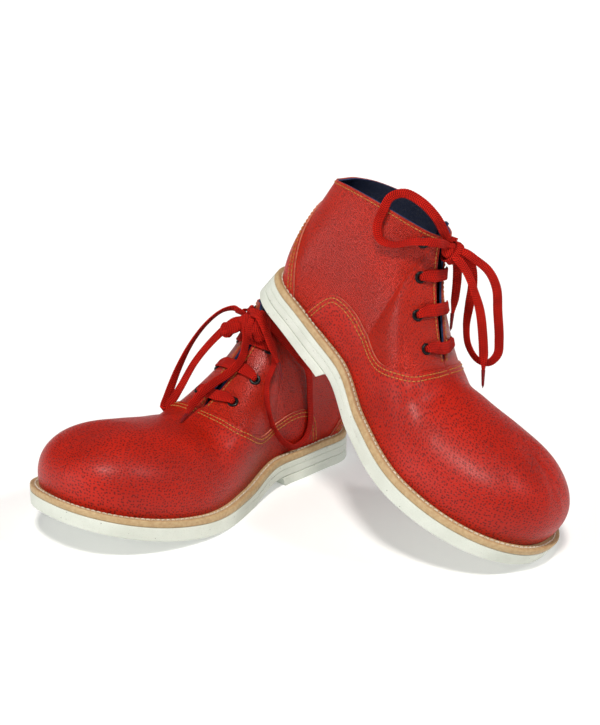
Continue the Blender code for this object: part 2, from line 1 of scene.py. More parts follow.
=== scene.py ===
"""Looks of a pair of bulb-toe lace-up boots: leather panels, stitching, welts, soles, laces and materials.

Each boot is worked out in its own frame, in millimetres: x runs forward from the back of the sole, y towards
the boot's outer side and z up from the ground under the heel. Meshes are written in metres in the world.
"""

import functools
import json
import math

import bmesh
import bpy
import numpy as np
from mathutils import Matrix, Vector


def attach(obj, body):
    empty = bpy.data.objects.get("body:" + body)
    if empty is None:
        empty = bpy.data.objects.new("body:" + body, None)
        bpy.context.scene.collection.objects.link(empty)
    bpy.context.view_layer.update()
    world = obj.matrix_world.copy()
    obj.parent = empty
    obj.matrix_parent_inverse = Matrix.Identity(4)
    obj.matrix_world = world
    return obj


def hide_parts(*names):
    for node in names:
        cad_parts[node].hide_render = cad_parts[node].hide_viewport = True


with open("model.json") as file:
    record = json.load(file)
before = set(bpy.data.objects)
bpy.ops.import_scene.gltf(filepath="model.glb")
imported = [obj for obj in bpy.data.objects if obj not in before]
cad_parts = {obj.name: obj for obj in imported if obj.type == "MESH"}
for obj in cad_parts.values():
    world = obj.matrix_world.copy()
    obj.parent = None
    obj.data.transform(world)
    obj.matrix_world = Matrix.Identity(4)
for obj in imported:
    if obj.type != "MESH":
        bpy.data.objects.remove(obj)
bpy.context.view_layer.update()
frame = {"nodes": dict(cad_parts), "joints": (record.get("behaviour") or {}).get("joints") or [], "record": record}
MM = 0.001

# ---- Driving dimensions, as in the CAD model (mm) ----

LENGTH = 330.0
HEEL_END, HEEL_HALF, HEEL_POWER = 35.0, 33.7, 2.3
WAIST_AT, WAIST_HALF = 86.5, 34.2
BULB_AT, BULB_HALF, TOE_POWER = 228.0, 76.7, 2.26
SWAY = 2.7
HEEL_BLOCK, OUTSOLE, WELT = 8.7, 12.3, 5.8
TOE_SPRING, SPRING_POWER = 30.6, 1.74
BREAST_TOP, BREAST_FOOT = 103.0, 99.0
WAIST_END, TREAD_END = 155.0, 180.0
UPPER_INSET_HEEL, UPPER_INSET = 6.5, 9.1
LEATHER = 1.4
U_HEEL, U_BULB, U_CORNER, U_THROAT = 0.14, 0.62, 0.32, 0.54
U_BREAST = 0.305
HEEL_CENTRE = 50.0

# Topline and ridge of the upper, by place along the feather line: (u, x, y, z)
TOPLINE = [(0, -13, 0, 119), (0.07, -9, 16, 123), (0.14, 7, 25.5, 132.5), (0.20, 32, 29.5, 143),
           (0.26, 63, 26, 152.5), (0.30, 83, 15, 157), (0.32, 88, 7, 158)]
RIDGE = [(0.32, 88, 7, 158), (0.35, 91, 6, 151), (0.40, 107, 5.5, 129), (0.45, 126, 5, 110),
         (0.495, 146.5, 4, 92.5), (0.54, 164, 0, 79), (0.62, 190, 0, 78), (0.72, 218, 0, 82),
         (0.82, 240, 0, 86.5), (0.92, 256, 0, 88), (1, 266, 0, 88)]
# Where the ribs stop spreading outwards at the top, behind and in front of the topline corner
SPREAD_FROM, SPREAD_TO = 0.22, 0.38
# Ribs that rise from the feather line: (u, outward lean, pull at the foot, pull at the top, upwardness there)
RIBS = [(0, 0.56, 0.33, 0.33, 1), (0.10, 0.44, 0.33, 0.33, 1), (0.20, 0.22, 0.33, 0.33, 1),
        (0.27, 0.15, 0.33, 0.32, 0.92), (0.30, 0.13, 0.33, 0.32, 0.76), (0.32, 0.12, 0.33, 0.31, 0.64),
        (0.36, 0.12, 0.33, 0.31, 0.52), (0.41, 0.12, 0.35, 0.32, 0.40), (0.45, 0.12, 0.35, 0.32, 0.30),
        (0.50, 0.13, 0.36, 0.33, 0.15), (0.54, 0.15, 0.38, 0.34, 0), (0.62, 0.17, 0.40, 0.38, 0),
        (0.80, 0.15, 0.48, 0.50, 0), (1, 0.12, 0.50, 0.54, 0)]
# Upper edge of the vamp with its wing, and of the heel patch: (u, share of the rib)
WING = [(0.176, -0.012), (0.179, 0.05), (0.188, 0.15), (0.200, 0.23), (0.215, 0.28), (0.245, 0.30),
        (0.278, 0.285), (0.315, 0.25), (0.353, 0.25), (0.388, 0.29), (0.425, 0.37), (0.46, 0.465),
        (0.49, 0.57), (0.515, 0.71), (0.533, 0.86), (0.54, 1.0)]
PATCH = [(0, 0.76), (0.035, 0.71), (0.072, 0.47), (0.102, 0.25), (0.124, 0.10), (0.14, -0.012)]
EYELETS = [(0.487, 0.80), (0.430, 0.78), (0.376, 0.83), (0.298, 0.92)]
BAR_EDGES = [0.505, 0.450, 0.397, 0.343]
TONGUE_U = (0.33, 0.515)
TONGUE_SIDE = [(0.33, 0.93), (0.37, 0.87), (0.41, 0.79), (0.52, 0.77)]
TONGUE_OFF, TONGUE_THICK, TONGUE_RISE = -7.4, 1.8, 13.0

# ---- Laces: knots in the boots' frames, routes in the world (mm), the same points as in the CAD model ----

KNOTS = {"left_": (105, 0, 151), "right_": (98.5, 0, 155)}
# Half length, height and depth of the knot's bunch, and how far its middle hangs from the knot in the world
KNOT_SIZES = {"left_": (16, 12.8, 8.0), "right_": (10.5, 9.2, 6.8)}
KNOT_SAG = {"left_": (4, -8, -5.5), "right_": (-1, -1, -4)}
# Folds beside the bunch: place from its middle, direction and the same three half sizes
KNOT_LOBES = {"left_": [((-20, 0, -3.5), (-0.9, 0, -0.4), (10, 7.0, 3.6))], "right_": []}
INTO_KNOT = 0.3                   # share of the way from the knot's centre where a lace's end is hidden
AGLET_GRIP = 3.0                  # how far an aglet reaches back over its lace
# Turn of the flat lace at each route point: 0 shows its face to the front, 90 its edge
BOWS = {
    "left_": {
        "loop_a": ([(-50, -31, 154), (-54, -28, 155), (-64, -26, 152), (-77, -28, 142), (-91, -34, 125),
                    (-103, -42, 103), (-112, -48, 80), (-115, -50, 71), (-109, -50, 76), (-101, -52, 89),
                    (-88, -46, 111), (-73, -42, 129), (-57, -40, 144), (-52, -39, 147)],
                   [50, 60, 72, 72, 66, 45, 15, 5, 15, 30, 38, 35, 20, 20]),
        "loop_b": ([(-30, -46, 154), (-22, -46, 146), (-11, -47, 133), (2, -44, 116), (11, -40, 102),
                    (13, -36, 74), (13, -35, 48), (8, -37, 35), (-1, -47, 32), (-11, -58, 42),
                    (-20, -72, 62), (-24, -80, 86), (-24, -71, 102), (-18, -64, 118), (-20, -57, 132),
                    (-27, -53, 141), (-31, -45, 143)],
                   [20, 25, 38, 46, 52, 56, 58, 60, 60, 58, 57, 57, 57, 54, 50, 42, 38]),
        "tail_a": ([(-42, -48, 143), (-43, -56, 131), (-47, -63, 119), (-58, -69, 109), (-69, -74, 103),
                    (-80, -81, 96), (-89, -87, 86), (-93, -98, 82)],
                   [30, 40, 30, 20, 20, 25, 30, 30]),
        "tail_b": ([(-38, -48, 158), (-32, -55, 158), (-26, -63, 149), (-22, -67, 138), (-17, -70, 126),
                    (-14, -71, 118)], [20, 20, 30, 40, 45, 45]),
    },
    "right_": {
        "loop_a": ([(122, -134, 252), (119, -139, 259), (113, -143, 270), (102, -140, 281), (88, -134, 287),
                    (77, -132, 283), (71, -131, 271), (67, -129, 258), (69, -132, 248), (79, -137, 245),
                    (95, -146, 250), (108, -153, 252), (116, -150, 250), (120, -142, 247)],
                   [10, 5, 0, 0, 20, 25, 5, 0, 30, 50, 45, 30, 20, 20]),
        "loop_b": ([(138, -135, 238), (146, -134, 232), (158, -132, 221), (165, -130, 206), (167, -128, 185),
                    (169, -127, 160), (168, -127, 147), (161, -127, 140), (152, -126, 142), (144, -124, 154),
                    (142, -122, 170), (144, -122, 189), (146, -124, 208), (144, -126, 224), (138, -127, 231)],
                   [30, 25, 15, 5, 0, 0, 15, 40, 55, 55, 50, 20, 5, 10, 20]),
        "tail_a": ([(131, -139, 234), (134, -140, 231), (140, -142, 222), (146, -143, 207), (151, -144, 190),
                    (154, -145, 166), (155, -145, 148), (155, -145, 138)],
                   [25, 20, 25, 30, 10, 0, 0, 10]),
        "tail_b": ([(131, -121, 230), (133, -119, 225), (134, -114, 210), (133, -112, 193),
                    (131, -111, 176)], [10, 5, 10, 25, 30]),
    },
}
AGLETS = {
    "left_": {"aglet_a": [(-93.4, -99, 81.8), (-97, -112, 81)],
              "aglet_b": [(-13.8, -71, 116.8), (-11, -72, 104)]},
    "right_": {"aglet_a": [(155, -145, 137), (155, -145, 124)],
               "aglet_b": [(130.8, -111, 174.9), (130, -110, 162)]},
}
LACE_WIDTH, LACE_THICK = 8.0, 1.5
BAR_WIDTH = 10.4                  # a bar is pressed flat over the facings

# ---- Camera, as the pair is seen: a long lens from the front, a little above ----

CAMERA_PLACE = (0.0042, -1.7032, 0.7059)
CAMERA_DOWN = math.radians(19.747)
CAMERA_LENS, SENSOR = 100.06, 36.0
VIEW = np.array([0.0, math.cos(CAMERA_DOWN), -math.sin(CAMERA_DOWN)])


# ---- Curves and tables ----

def smooth(t):
    t = np.clip(t, 0.0, 1.0)
    return t * t * (3 - 2 * t)


def table_value(table, u):
    """Piecewise straight value of a two-column table."""
    return np.interp(u, [row[0] for row in table], [row[1] for row in table])


def spline(table, u):
    """Smooth curve through the rows of a table whose first column is the parameter."""
    rows = np.array(table, dtype=float)
    keys, values = rows[:, 0], rows[:, 1:]
    slopes = np.gradient(values, keys, axis=0)
    i = int(np.clip(np.searchsorted(keys, u) - 1, 0, len(keys) - 2))
    step = keys[i + 1] - keys[i]
    t = (u - keys[i]) / step
    return ((2 * t**3 - 3 * t**2 + 1) * values[i] + (t**3 - 2 * t**2 + t) * step * slopes[i]
            + (3 * t**2 - 2 * t**3) * values[i + 1] + (t**3 - t**2) * step * slopes[i + 1])


def through(points, spacing):
    """Points at an even spacing on the smooth curve through the given rows, which may carry extra columns."""
    knots = np.array(points, dtype=float)
    steps = np.linalg.norm(np.diff(knots[:, :3], axis=0), axis=1)
    keys = np.concatenate([[0], np.cumsum(steps ** 0.5)])
    table = np.column_stack([keys, knots])
    fine = np.array([spline(table, t) for t in np.linspace(0, keys[-1], 24 * len(knots))])
    return resample(fine, spacing)


def run_along(points):
    """Distance of each point from the first one, along the line."""
    return np.concatenate([[0], np.cumsum(np.linalg.norm(np.diff(points, axis=0), axis=1))])


def resample(fine, spacing):
    run = run_along(fine[:, :3])
    count = max(int(round(run[-1] / spacing)), 2)
    marks = np.linspace(0, run[-1], count + 1)
    return np.column_stack([np.interp(marks, run, fine[:, k]) for k in range(fine.shape[1])])


def unit(vectors):
    return vectors / np.maximum(np.linalg.norm(vectors, axis=-1, keepdims=True), 1e-12)


# ---- Sole and upper shape, as in the CAD model ----

def sole_edge(u):
    """Outer-side point of the sole outline, from the back of the heel (u=0) to the toe tip (u=1)."""
    if u < U_HEEL:
        angle = u / U_HEEL * math.pi / 2
        return np.array([HEEL_END * (1 - abs(math.cos(angle)) ** (2 / HEEL_POWER)),
                         HEEL_HALF * math.sin(angle) ** (2 / HEEL_POWER)])
    if u < U_BULB:
        x = HEEL_END + (u - U_HEEL) / (U_BULB - U_HEEL) * (BULB_AT - HEEL_END)
        to_waist = smooth((x - HEEL_END) / (WAIST_AT - HEEL_END))
        to_bulb = smooth((x - WAIST_AT) / (BULB_AT - WAIST_AT))
        return np.array([x, HEEL_HALF + (WAIST_HALF - HEEL_HALF) * to_waist
                         + (BULB_HALF - WAIST_HALF) * to_bulb])
    angle = (u - U_BULB) / (1 - U_BULB) * math.pi / 2
    return np.array([BULB_AT + (LENGTH - BULB_AT) * math.sin(angle) ** (2 / TOE_POWER),
                     BULB_HALF * abs(math.cos(angle)) ** (2 / TOE_POWER)])


def outline_normal(u):
    step = 1e-3
    before, after = sole_edge(max(u - step, 0)), sole_edge(min(u + step, 1))
    if u <= step:
        before = after * [1, -1]
    if u >= 1 - step:
        after = before * [1, -1]
    along = after - before
    return np.array([-along[1], along[0]]) / np.hypot(*along)


def inset_edge(u, inset):
    point = sole_edge(u) - inset * outline_normal(u)
    return np.array([point[0], max(point[1], 0.0)])


def ground(x):
    """Height of the outsole's underside."""
    drop = HEEL_BLOCK * (1 - smooth((x - BREAST_TOP) / (WAIST_END - BREAST_TOP)))
    return drop + TOE_SPRING * np.maximum((x - TREAD_END) / (LENGTH - TREAD_END), 0.0) ** SPRING_POWER


def sway(x):
    return SWAY * smooth((x - HEEL_END) / (WAIST_AT - HEEL_END))


def top_point(u):
    return spline(TOPLINE if u <= U_CORNER else RIDGE, u)


@functools.lru_cache(maxsize=None)
def rib(u):
    """Four control points of the rib that rises from the feather line at u."""
    if u < 0 or u > 1:
        return rib(-u if u < 0 else 2 - u) * [1, -1, 1]
    inset = UPPER_INSET_HEEL + (UPPER_INSET - UPPER_INSET_HEEL) * smooth(u / 0.3)
    foot = inset_edge(u, inset)
    normal = outline_normal(u)
    start = np.array([foot[0], foot[1], ground(foot[0]) + OUTSOLE + WELT + 0.7])
    end = top_point(u)
    lean, pull_foot, pull_top, upward = spline(RIBS, u)
    upward = min(max(upward, 0.0), 1.0)
    leave = unit(np.array([normal[0] * lean, normal[1] * lean, 1.0]))
    if u > U_CORNER:
        along = unit(top_point(min(u + 1e-3, 1)) - top_point(max(u - 1e-3, U_CORNER + 1e-4)))
    else:
        along = np.array([1.0, 0.0, 0.0])
    spread = 1 - smooth((u - SPREAD_FROM) / (SPREAD_TO - SPREAD_FROM))
    rise = np.array([0.15 * normal[0] * spread, 0.1 * normal[1] * spread, 1.0])
    turn = smooth((u - U_BULB) / (1 - U_BULB)) * math.pi / 2
    inward = np.array([0.0, -1.0, 0.0]) * math.cos(turn) - along * math.sin(turn)
    arrive = unit(rise * upward + inward * (1 - upward))
    chord = np.linalg.norm(end - start)
    return np.array([start, start + leave * chord * pull_foot, end - arrive * chord * pull_top, end])


def rib_length(u):
    a, b, c, d = rib(round(float(u), 5))
    return float(np.linalg.norm(b - a) + np.linalg.norm(c - b) + np.linalg.norm(d - c)
                 + np.linalg.norm(d - a)) / 2


def surface(us, vs):
    """Points and outward normals of the upper's base surface on its outer half."""
    us, vs = np.asarray(us, float), np.asarray(vs, float)
    step = 1e-3
    here, after, before = (np.array([rib(round(float(u) + shift, 5)) for u in us])
                           for shift in (0, step, -step))
    v = np.where(us >= 0.9995, np.minimum(vs, 0.97), vs)

    def bernstein(t):
        w = 1 - t
        return np.stack([w**3, 3 * w * w * t, 3 * w * t * t, t**3], axis=1)[:, :, None]

    points = (here * bernstein(vs)).sum(axis=1)
    along = ((after - before) * bernstein(v)).sum(axis=1) / (2 * step)
    w = 1 - v
    slopes = np.stack([-3 * w * w, 3 * w * w - 6 * w * v, 6 * w * v - 3 * v * v, 3 * v * v], axis=1)
    across = (here * slopes[:, :, None]).sum(axis=1)
    normals = np.cross(across, along)
    on_middle = (us <= 0) | (us >= 1) | ((vs >= 1) & (us > U_THROAT))
    normals[on_middle, 1] = 0.0
    return points, unit(normals), along, across


def slide(us, vs, moves):
    """Surface parameters after moving by the given vectors along the surface."""
    us, vs = np.array(us, float), np.array(vs, float)
    target = surface(us, vs)[0] + moves
    for _ in range(3):
        points, _, along, across = surface(us, vs)
        error = target - points
        for k in range(len(us)):
            change = np.linalg.lstsq(np.column_stack([along[k], across[k]]), error[k], rcond=None)[0]
            us[k] = min(max(us[k] + change[0], 0.0), 1.0)
            vs[k] = vs[k] + change[1]
    return us, vs


SIDE_SHIFT = 400.0                # the inner side's leather coordinates start here, so no grain is mirrored
FOOT_MARKS = np.linspace(0, 1, 400)
FOOT_RUN = run_along(surface(FOOT_MARKS, np.zeros(400))[0])
FOOT_SPEED = np.gradient(FOOT_RUN, FOOT_MARKS)


class Boot:
    """One boot's frame: millimetre points in it become metres in the world."""

    def __init__(self, prefix, hand):
        mount = next(m for m in frame["record"]["mounts"] if m["name"] == prefix + "heel_base")
        joint = next(j for j in frame["joints"] if j["name"] == prefix + "tongue_fold")
        up = -np.array(mount["axis"], float)
        across = np.array(joint["axis"], float)
        self.turn = np.column_stack([np.cross(across, up), across, up])
        self.place = np.array(mount["pos_m"], float)
        self.prefix, self.hand = prefix, hand
        self.body, self.tongue = prefix + "boot", prefix + "tongue"

    def world(self, points):
        local = (np.asarray(points, float) - [HEEL_CENTRE, 0, 0]) * [1, self.hand, 1] * MM
        return local @ self.turn.T + self.place

    def direction(self, vectors):
        return (np.asarray(vectors, float) * [1, self.hand, 1]) @ self.turn.T

    def upper(self, us, vs, side, off):
        """World points of the upper on one side (1 outer, -1 inner), moved off the base surface."""
        points, normals, _, _ = surface(us, vs)
        moved = points + normals * np.broadcast_to(off, len(points))[:, None]
        moved = moved * [1, side, 1]
        moved[:, 1] += sway(moved[:, 0])
        return moved


# ---- Mesh helpers ----

def add_object(name, data):
    made = bpy.data.objects.new(name, data)
    bpy.context.scene.collection.objects.link(made)
    return made


def mesh_object(name, points, faces, materials, faces_material=None, smooth_angle=40, weld=0.00001,
                grain=None):
    """Object from world points in metres, welded and facing out; grain holds leather coordinates by point."""
    mesh = bpy.data.meshes.new(name)
    mesh.from_pydata([tuple(p) for p in np.asarray(points, float)], [], [tuple(f) for f in faces])
    if grain is not None:
        corners = np.empty(len(mesh.loops), int)
        mesh.loops.foreach_get("vertex_index", corners)
        attribute = mesh.attributes.new("grain", "FLOAT_VECTOR", "CORNER")
        attribute.data.foreach_set("vector", grain[corners].ravel())
    for finish in materials:
        mesh.materials.append(MATERIALS[finish])
    if faces_material is not None:
        mesh.polygons.foreach_set("material_index", faces_material)
    work = bmesh.new()
    work.from_mesh(mesh)
    if weld:
        bmesh.ops.remove_doubles(work, verts=work.verts, dist=weld)
    bmesh.ops.recalc_face_normals(work, faces=work.faces)
    work.to_mesh(mesh)
    work.free()
    mesh.shade_smooth()
    mesh.set_sharp_from_angle(angle=math.radians(smooth_angle))
    return add_object(name, mesh)


def stand_for(piece, boot, node, body=None):
    """Rides a piece on its boot in place of a CAD node, which is hidden."""
    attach(piece, body or boot.body)
    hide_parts(boot.prefix + node)


def grid(columns, rows, first=0):
    return [(first + i * rows + j, first + (i + 1) * rows + j, first + (i + 1) * rows + j + 1,
             first + i * rows + j + 1) for i in range(columns - 1) for j in range(rows - 1)]


def closed_grid(columns, rows):
    """Faces of a closed profile that is carried round a closed line."""
    return [(i * rows + j, (i + 1) % columns * rows + j, (i + 1) % columns * rows + (j + 1) % rows,
             i * rows + (j + 1) % rows) for i in range(columns) for j in range(rows)]


def tube(rings, corners, first=0):
    """Faces of a tube: quads between its rings of corners, and a cap at each end."""
    faces = [(first + i * corners + m, first + i * corners + (m + 1) % corners,
              first + (i + 1) * corners + (m + 1) % corners, first + (i + 1) * corners + m)
             for i in range(rings - 1) for m in range(corners)]
    last = first + (rings - 1) * corners
    return faces + [tuple(range(first, first + corners)), tuple(range(last, last + corners))[::-1]]


def circle(corners):
    return 2 * math.pi * np.arange(corners) / corners


def rim_pairs(columns, rows):
    """Neighbouring points round the outline of a grid."""
    rim = [i * rows for i in range(columns)] + [(columns - 1) * rows + j for j in range(1, rows)]
    rim += [i * rows + rows - 1 for i in range(columns - 2, -1, -1)] + list(range(rows - 2, 0, -1))
    return zip(rim, rim[1:] + rim[:1])


def nearest(points, line):
    """Distance of each point to the nearest point of a dense line."""
    return np.concatenate([np.linalg.norm(part[:, None] - line[None], axis=2).min(axis=1)
                           for part in np.array_split(points, 40)])


def grain_coords(us, vs, lengths, side):
    """Leather coordinates in mm: along the feather line, up the rib, and how much the ribs have closed up."""
    _, _, along, across = surface(us, vs)
    along = along - across * ((along * across).sum(axis=1) / (across ** 2).sum(axis=1))[:, None]
    closing = np.linalg.norm(along, axis=1) / np.interp(us, FOOT_MARKS, FOOT_SPEED)
    run = np.interp(us, FOOT_MARKS, FOOT_RUN) + (SIDE_SHIFT if side < 0 else 0)
    return np.column_stack([run, vs * lengths, np.clip(closing, 0.2, 2.0)])


def panel(boot, node, sides, us, low, high, rows, inner, outer, materials, edge=None):
    """Leather panel for a CAD node, between two edges: materials are its face, its back and its cut rim.

    inner and outer give the two faces' distances from the base surface, from the distance to the edge line,
    or to the upper edge where there is none.
    """
    points, faces, kinds, grain = [], [], [], []
    shares = np.linspace(0, 1, rows) ** 0.9
    count = len(us)
    size = count * rows
    for side in sides:
        all_u = np.repeat(us, rows)
        lows, highs = (np.array([edge_at(u) for u in us]) for edge_at in (low, high))
        all_v = (lows[:, None] + (highs - lows)[:, None] * shares[None, :]).ravel()
        lengths = np.repeat([rib_length(u) for u in us], rows)
        from_edge = (np.repeat(highs, rows) - all_v) * lengths
        if edge is not None:
            from_edge = nearest(surface(all_u, all_v)[0], edge)
        first = len(points)
        grain += [grain_coords(all_u, all_v, lengths, side)] * 2
        for kind, layer in enumerate((outer, inner)):
            points.extend(boot.world(boot.upper(all_u, all_v, side, layer(from_edge))))
            faces += grid(count, rows, first + kind * size)
            kinds += [kind] * ((count - 1) * (rows - 1))
        for a, b in rim_pairs(count, rows):
            on_ridge = all_v[a] >= 1 and all_v[b] >= 1 and min(all_u[a], all_u[b]) >= U_THROAT
            on_axis = all_u[a] == all_u[b] and all_u[a] in (0, 1)
            if len(sides) == 2 and (on_ridge or on_axis):
                continue
            faces.append((first + a, first + b, first + size + b, first + size + a))
            kinds.append(2)
    return mesh_object(boot.prefix + node + "_leather", points, faces, materials, kinds,
                       grain=np.vstack(grain))


def edge_row(boot, us, vs, side, inset, lift):
    """Row along an edge curve of the upper, inset into the panel on its left: world points and normals."""
    points, normals, _, _ = surface(us, vs)
    along = unit(np.gradient(points, axis=0))
    inward = unit(np.cross(normals, along))
    row_u, row_v = slide(us, vs, inward * inset)
    if row_v[-1] > 1:
        keep = row_v < 1
        end = float(np.interp(1.0, row_v[-12:], row_u[-12:]))
        row_u, row_v = np.append(row_u[keep], end), np.append(row_v[keep], 1.0)
    local = boot.upper(row_u, row_v, side, lift)
    facing = surface(row_u, row_v)[1] * [1, side, 1]
    return boot.world(local) / MM, boot.direction(facing)


# One stitch, in shares of its length, rise and radius: (place along it, height, thickness)
STITCH_SHAPE = [(0.0, -0.35, 0.7), (0.15, 0.55, 1.0), (0.5, 1.0, 1.05), (0.85, 0.55, 1.0), (1.0, -0.35, 0.7)]


def stitch_row(points, normals, pitch, share, radius, rise):
    """Stitches along a row: points and faces of small threads whose ends dip into the leather."""
    joined = np.column_stack([points, normals])
    run = run_along(points)
    sides = 6
    made, faces = [], []
    for k in range(int(run[-1] / pitch)):
        start = (k + 0.5 - share / 2) * pitch
        marks = [start + share * pitch * t for t, _, _ in STITCH_SHAPE]
        here = np.column_stack([np.interp(marks, run, joined[:, c]) for c in range(6)])
        normal = unit(here[:, 3:])
        along = unit(np.gradient(here[:, :3], axis=0))
        cross = unit(np.cross(along, normal))
        centre = here[:, :3] + normal * (np.array([h for _, h, _ in STITCH_SHAPE]) * rise)[:, None]
        faces += tube(len(STITCH_SHAPE), sides, len(made))
        for c, n, s, (_, _, thick) in zip(centre, normal, cross, STITCH_SHAPE):
            made += [c + radius * thick * (math.cos(a) * s + math.sin(a) * n) for a in circle(sides)]
    return made, faces


def stitching(name, rows, material, pitch, share, radius, rise):
    points, faces = [], []
    for row_points, row_normals in rows:
        made, joined = stitch_row(row_points, row_normals, pitch, share, radius, rise)
        faces += [tuple(len(points) + k for k in face) for face in joined]
        points += made
    return mesh_object(name, np.array(points) * MM, faces, [material], weld=0)


RIB_LENGTH, SCALLOP = 2.2, 0.2    # scalloped edge of the lace, one swelling for each woven rib


def ribbon(route, widths, width_ways):
    """Flat woven lace along millimetre points: mesh points, faces and weave coordinates."""
    route = np.asarray(route, float)
    along = unit(np.gradient(route, axis=0))
    across = unit(width_ways - along * (width_ways * along).sum(axis=1, keepdims=True))
    upward = np.cross(along, across)
    run = run_along(route)
    corners = 12
    wide = np.sign(np.cos(circle(corners))) * np.abs(np.cos(circle(corners))) ** 0.55
    high = np.sign(np.sin(circle(corners))) * np.abs(np.sin(circle(corners))) ** 0.7
    points, weave = [], []
    for i, place in enumerate(route):
        half = widths[i] / 2 + SCALLOP * (0.5 + 0.5 * math.sin(run[i] * 2 * math.pi / RIB_LENGTH)) - SCALLOP
        for w, h in zip(wide, high):
            swell = 0.95 + 0.25 * abs(w)
            points.append(place + across[i] * half * w + upward[i] * LACE_THICK / 2 * h * swell)
            weave.append((run[i], half * w, h))
    return points, tube(len(route), corners), weave


def lace_object(name, strips, lumps=()):
    """One object of one or more ribbons and gathered lumps, with the weave coordinates as an attribute."""
    points, faces, weave = [], [], []
    for made, joined, coords in (*lumps, *(ribbon(*strip) for strip in strips)):
        faces += [tuple(len(points) + k for k in face) for face in joined]
        points += made
        weave += coords
    made = mesh_object(name, np.array(points) * MM, faces, ["lace"], weld=0, smooth_angle=75)
    attribute = made.data.attributes.new("weave", "FLOAT_VECTOR", "POINT")
    attribute.data.foreach_set("vector", np.array(weave, float).ravel())
    return made


# ---- Materials ----

def new_material(name):
    made = bpy.data.materials.new(name)
    made.use_nodes = True
    return made, made.node_tree, made.node_tree.nodes["Principled BSDF"]


def set_inputs(tree, node, inputs):
    """Links sockets to a node's inputs and sets plain values on them."""
    for key, value in inputs.items():
        if isinstance(value, bpy.types.NodeSocket):
            tree.links.new(value, node.inputs[key])
        else:
            node.inputs[key].default_value = value


def add_node(tree, kind, inputs=None, **settings):
    made = tree.nodes.new("ShaderNode" + kind)
    for key, value in settings.items():
        setattr(made, key, value)
    set_inputs(tree, made, inputs or {})
    return made


def object_coords(tree):
    return add_node(tree, "TexCoord").outputs["Object"]


def stored_coords(tree, name):
    return add_node(tree, "Attribute", attribute_name=name).outputs["Vector"]


def noise(tree, scale, detail, output="Fac"):
    inputs = {"Vector": object_coords(tree), "Scale": scale, "Detail": detail}
    return add_node(tree, "TexNoise", inputs).outputs[output]


def math_node(tree, operation, a, b=0.0):
    return add_node(tree, "Math", {0: a, 1: b}, operation=operation).outputs[0]


def plus(tree, a, b):
    return math_node(tree, "ADD", a, b)


def times(tree, a, b):
    return math_node(tree, "MULTIPLY", a, b)


def mix_colours(tree, factor, a, b):
    return add_node(tree, "Mix", {0: factor, 6: a, 7: b}, data_type="RGBA").outputs[2]


def ranged(tree, value, low, high, to_low=0.0, to_high=1.0):
    return add_node(tree, "MapRange", {0: value, 1: low, 2: high, 3: to_low, 4: to_high},
                    interpolation_type="SMOOTHSTEP").outputs[0]


def add_bump(tree, shader, height, strength, distance):
    bump = add_node(tree, "Bump", {"Height": height, "Strength": strength, "Distance": distance})
    set_inputs(tree, shader, {"Normal": bump.outputs[0]})


def grain_cells(tree, size, feature="F1", shift=0.0):
    """Even cells laid on the leather itself, by its own coordinates: distance in cells."""
    parts = add_node(tree, "SeparateXYZ", {0: stored_coords(tree, "grain")}).outputs
    closing = plus(tree, math_node(tree, "SNAP", parts["Z"], 0.12), 0.06)
    along = times(tree, parts["X"], closing)
    across = plus(tree, parts["Y"], times(tree, closing, 617.0))
    on_leather = add_node(tree, "CombineXYZ", {0: along, 1: across, 2: shift}).outputs[0]
    wander = add_node(tree, "VectorMath", {0: noise(tree, 180.0, 2.0, "Color"), 1: (1.6, 1.6, 0)},
                      operation="MULTIPLY").outputs[0]
    place = add_node(tree, "VectorMath", {0: on_leather, 1: wander}, operation="ADD").outputs[0]
    return add_node(tree, "TexVoronoi", {"Vector": place, "Scale": 1 / size, "Randomness": 0.7},
                    voronoi_dimensions="2D", feature=feature).outputs["Distance"]


def leather_material(name, colour, hollow_shade_colour, pit_size, pit_share, crease, roughness, bump_strength=0.6,
                     bump_distance=0.0006, finish=0.17, specular=0.2):
    """Grained leather: close rows of pits, a net of fine creases and slow colour changes; the pits and creases are
    painted darker, as shade in these hollows.
    """
    made, tree, shader = new_material(name)
    slow = noise(tree, 22.0, 4.0)
    uneven = math_node(tree, "SUBTRACT", noise(tree, 260.0, 2.0), 0.5)
    pits = math_node(tree, "SUBTRACT", grain_cells(tree, pit_size), times(tree, uneven, 0.35))
    pit = ranged(tree, pits, pit_share * 0.35, pit_share)
    fold_line = ranged(tree, grain_cells(tree, pit_size * 0.62, "DISTANCE_TO_EDGE", 1.0), 0.0, 0.20)
    light = tuple(min(c * 1.1, 1) for c in colour[:3]) + (1,)
    dark = tuple(c * 0.84 for c in colour[:3]) + (1,)
    mottled = mix_colours(tree, ranged(tree, slow, 0.3, 0.7), dark, light)
    # Crease lines are drawn towards the pit colour: painted shade in the creases.
    crease_shaded = mix_colours(tree, ranged(tree, fold_line, 0, 1, 1 - 0.4 * crease, 1), hollow_shade_colour, mottled)
    coarse = plus(tree, times(tree, pit, 0.55), times(tree, fold_line, 0.8 * crease))
    height = plus(tree, coarse, times(tree, noise(tree, 900.0, 3.0), 0.10))
    add_bump(tree, shader, height, bump_strength, bump_distance)
    # Pits take the pit colour: painted shade in the hollows of the grain.
    set_inputs(tree, shader, {
        "Base Color": mix_colours(tree, pit, hollow_shade_colour, crease_shaded),
        "Roughness": ranged(tree, slow, 0.3, 0.7, roughness - 0.05, roughness + 0.06),
        "Specular IOR Level": specular, "Coat Weight": finish, "Coat Roughness": 0.38})
    return made


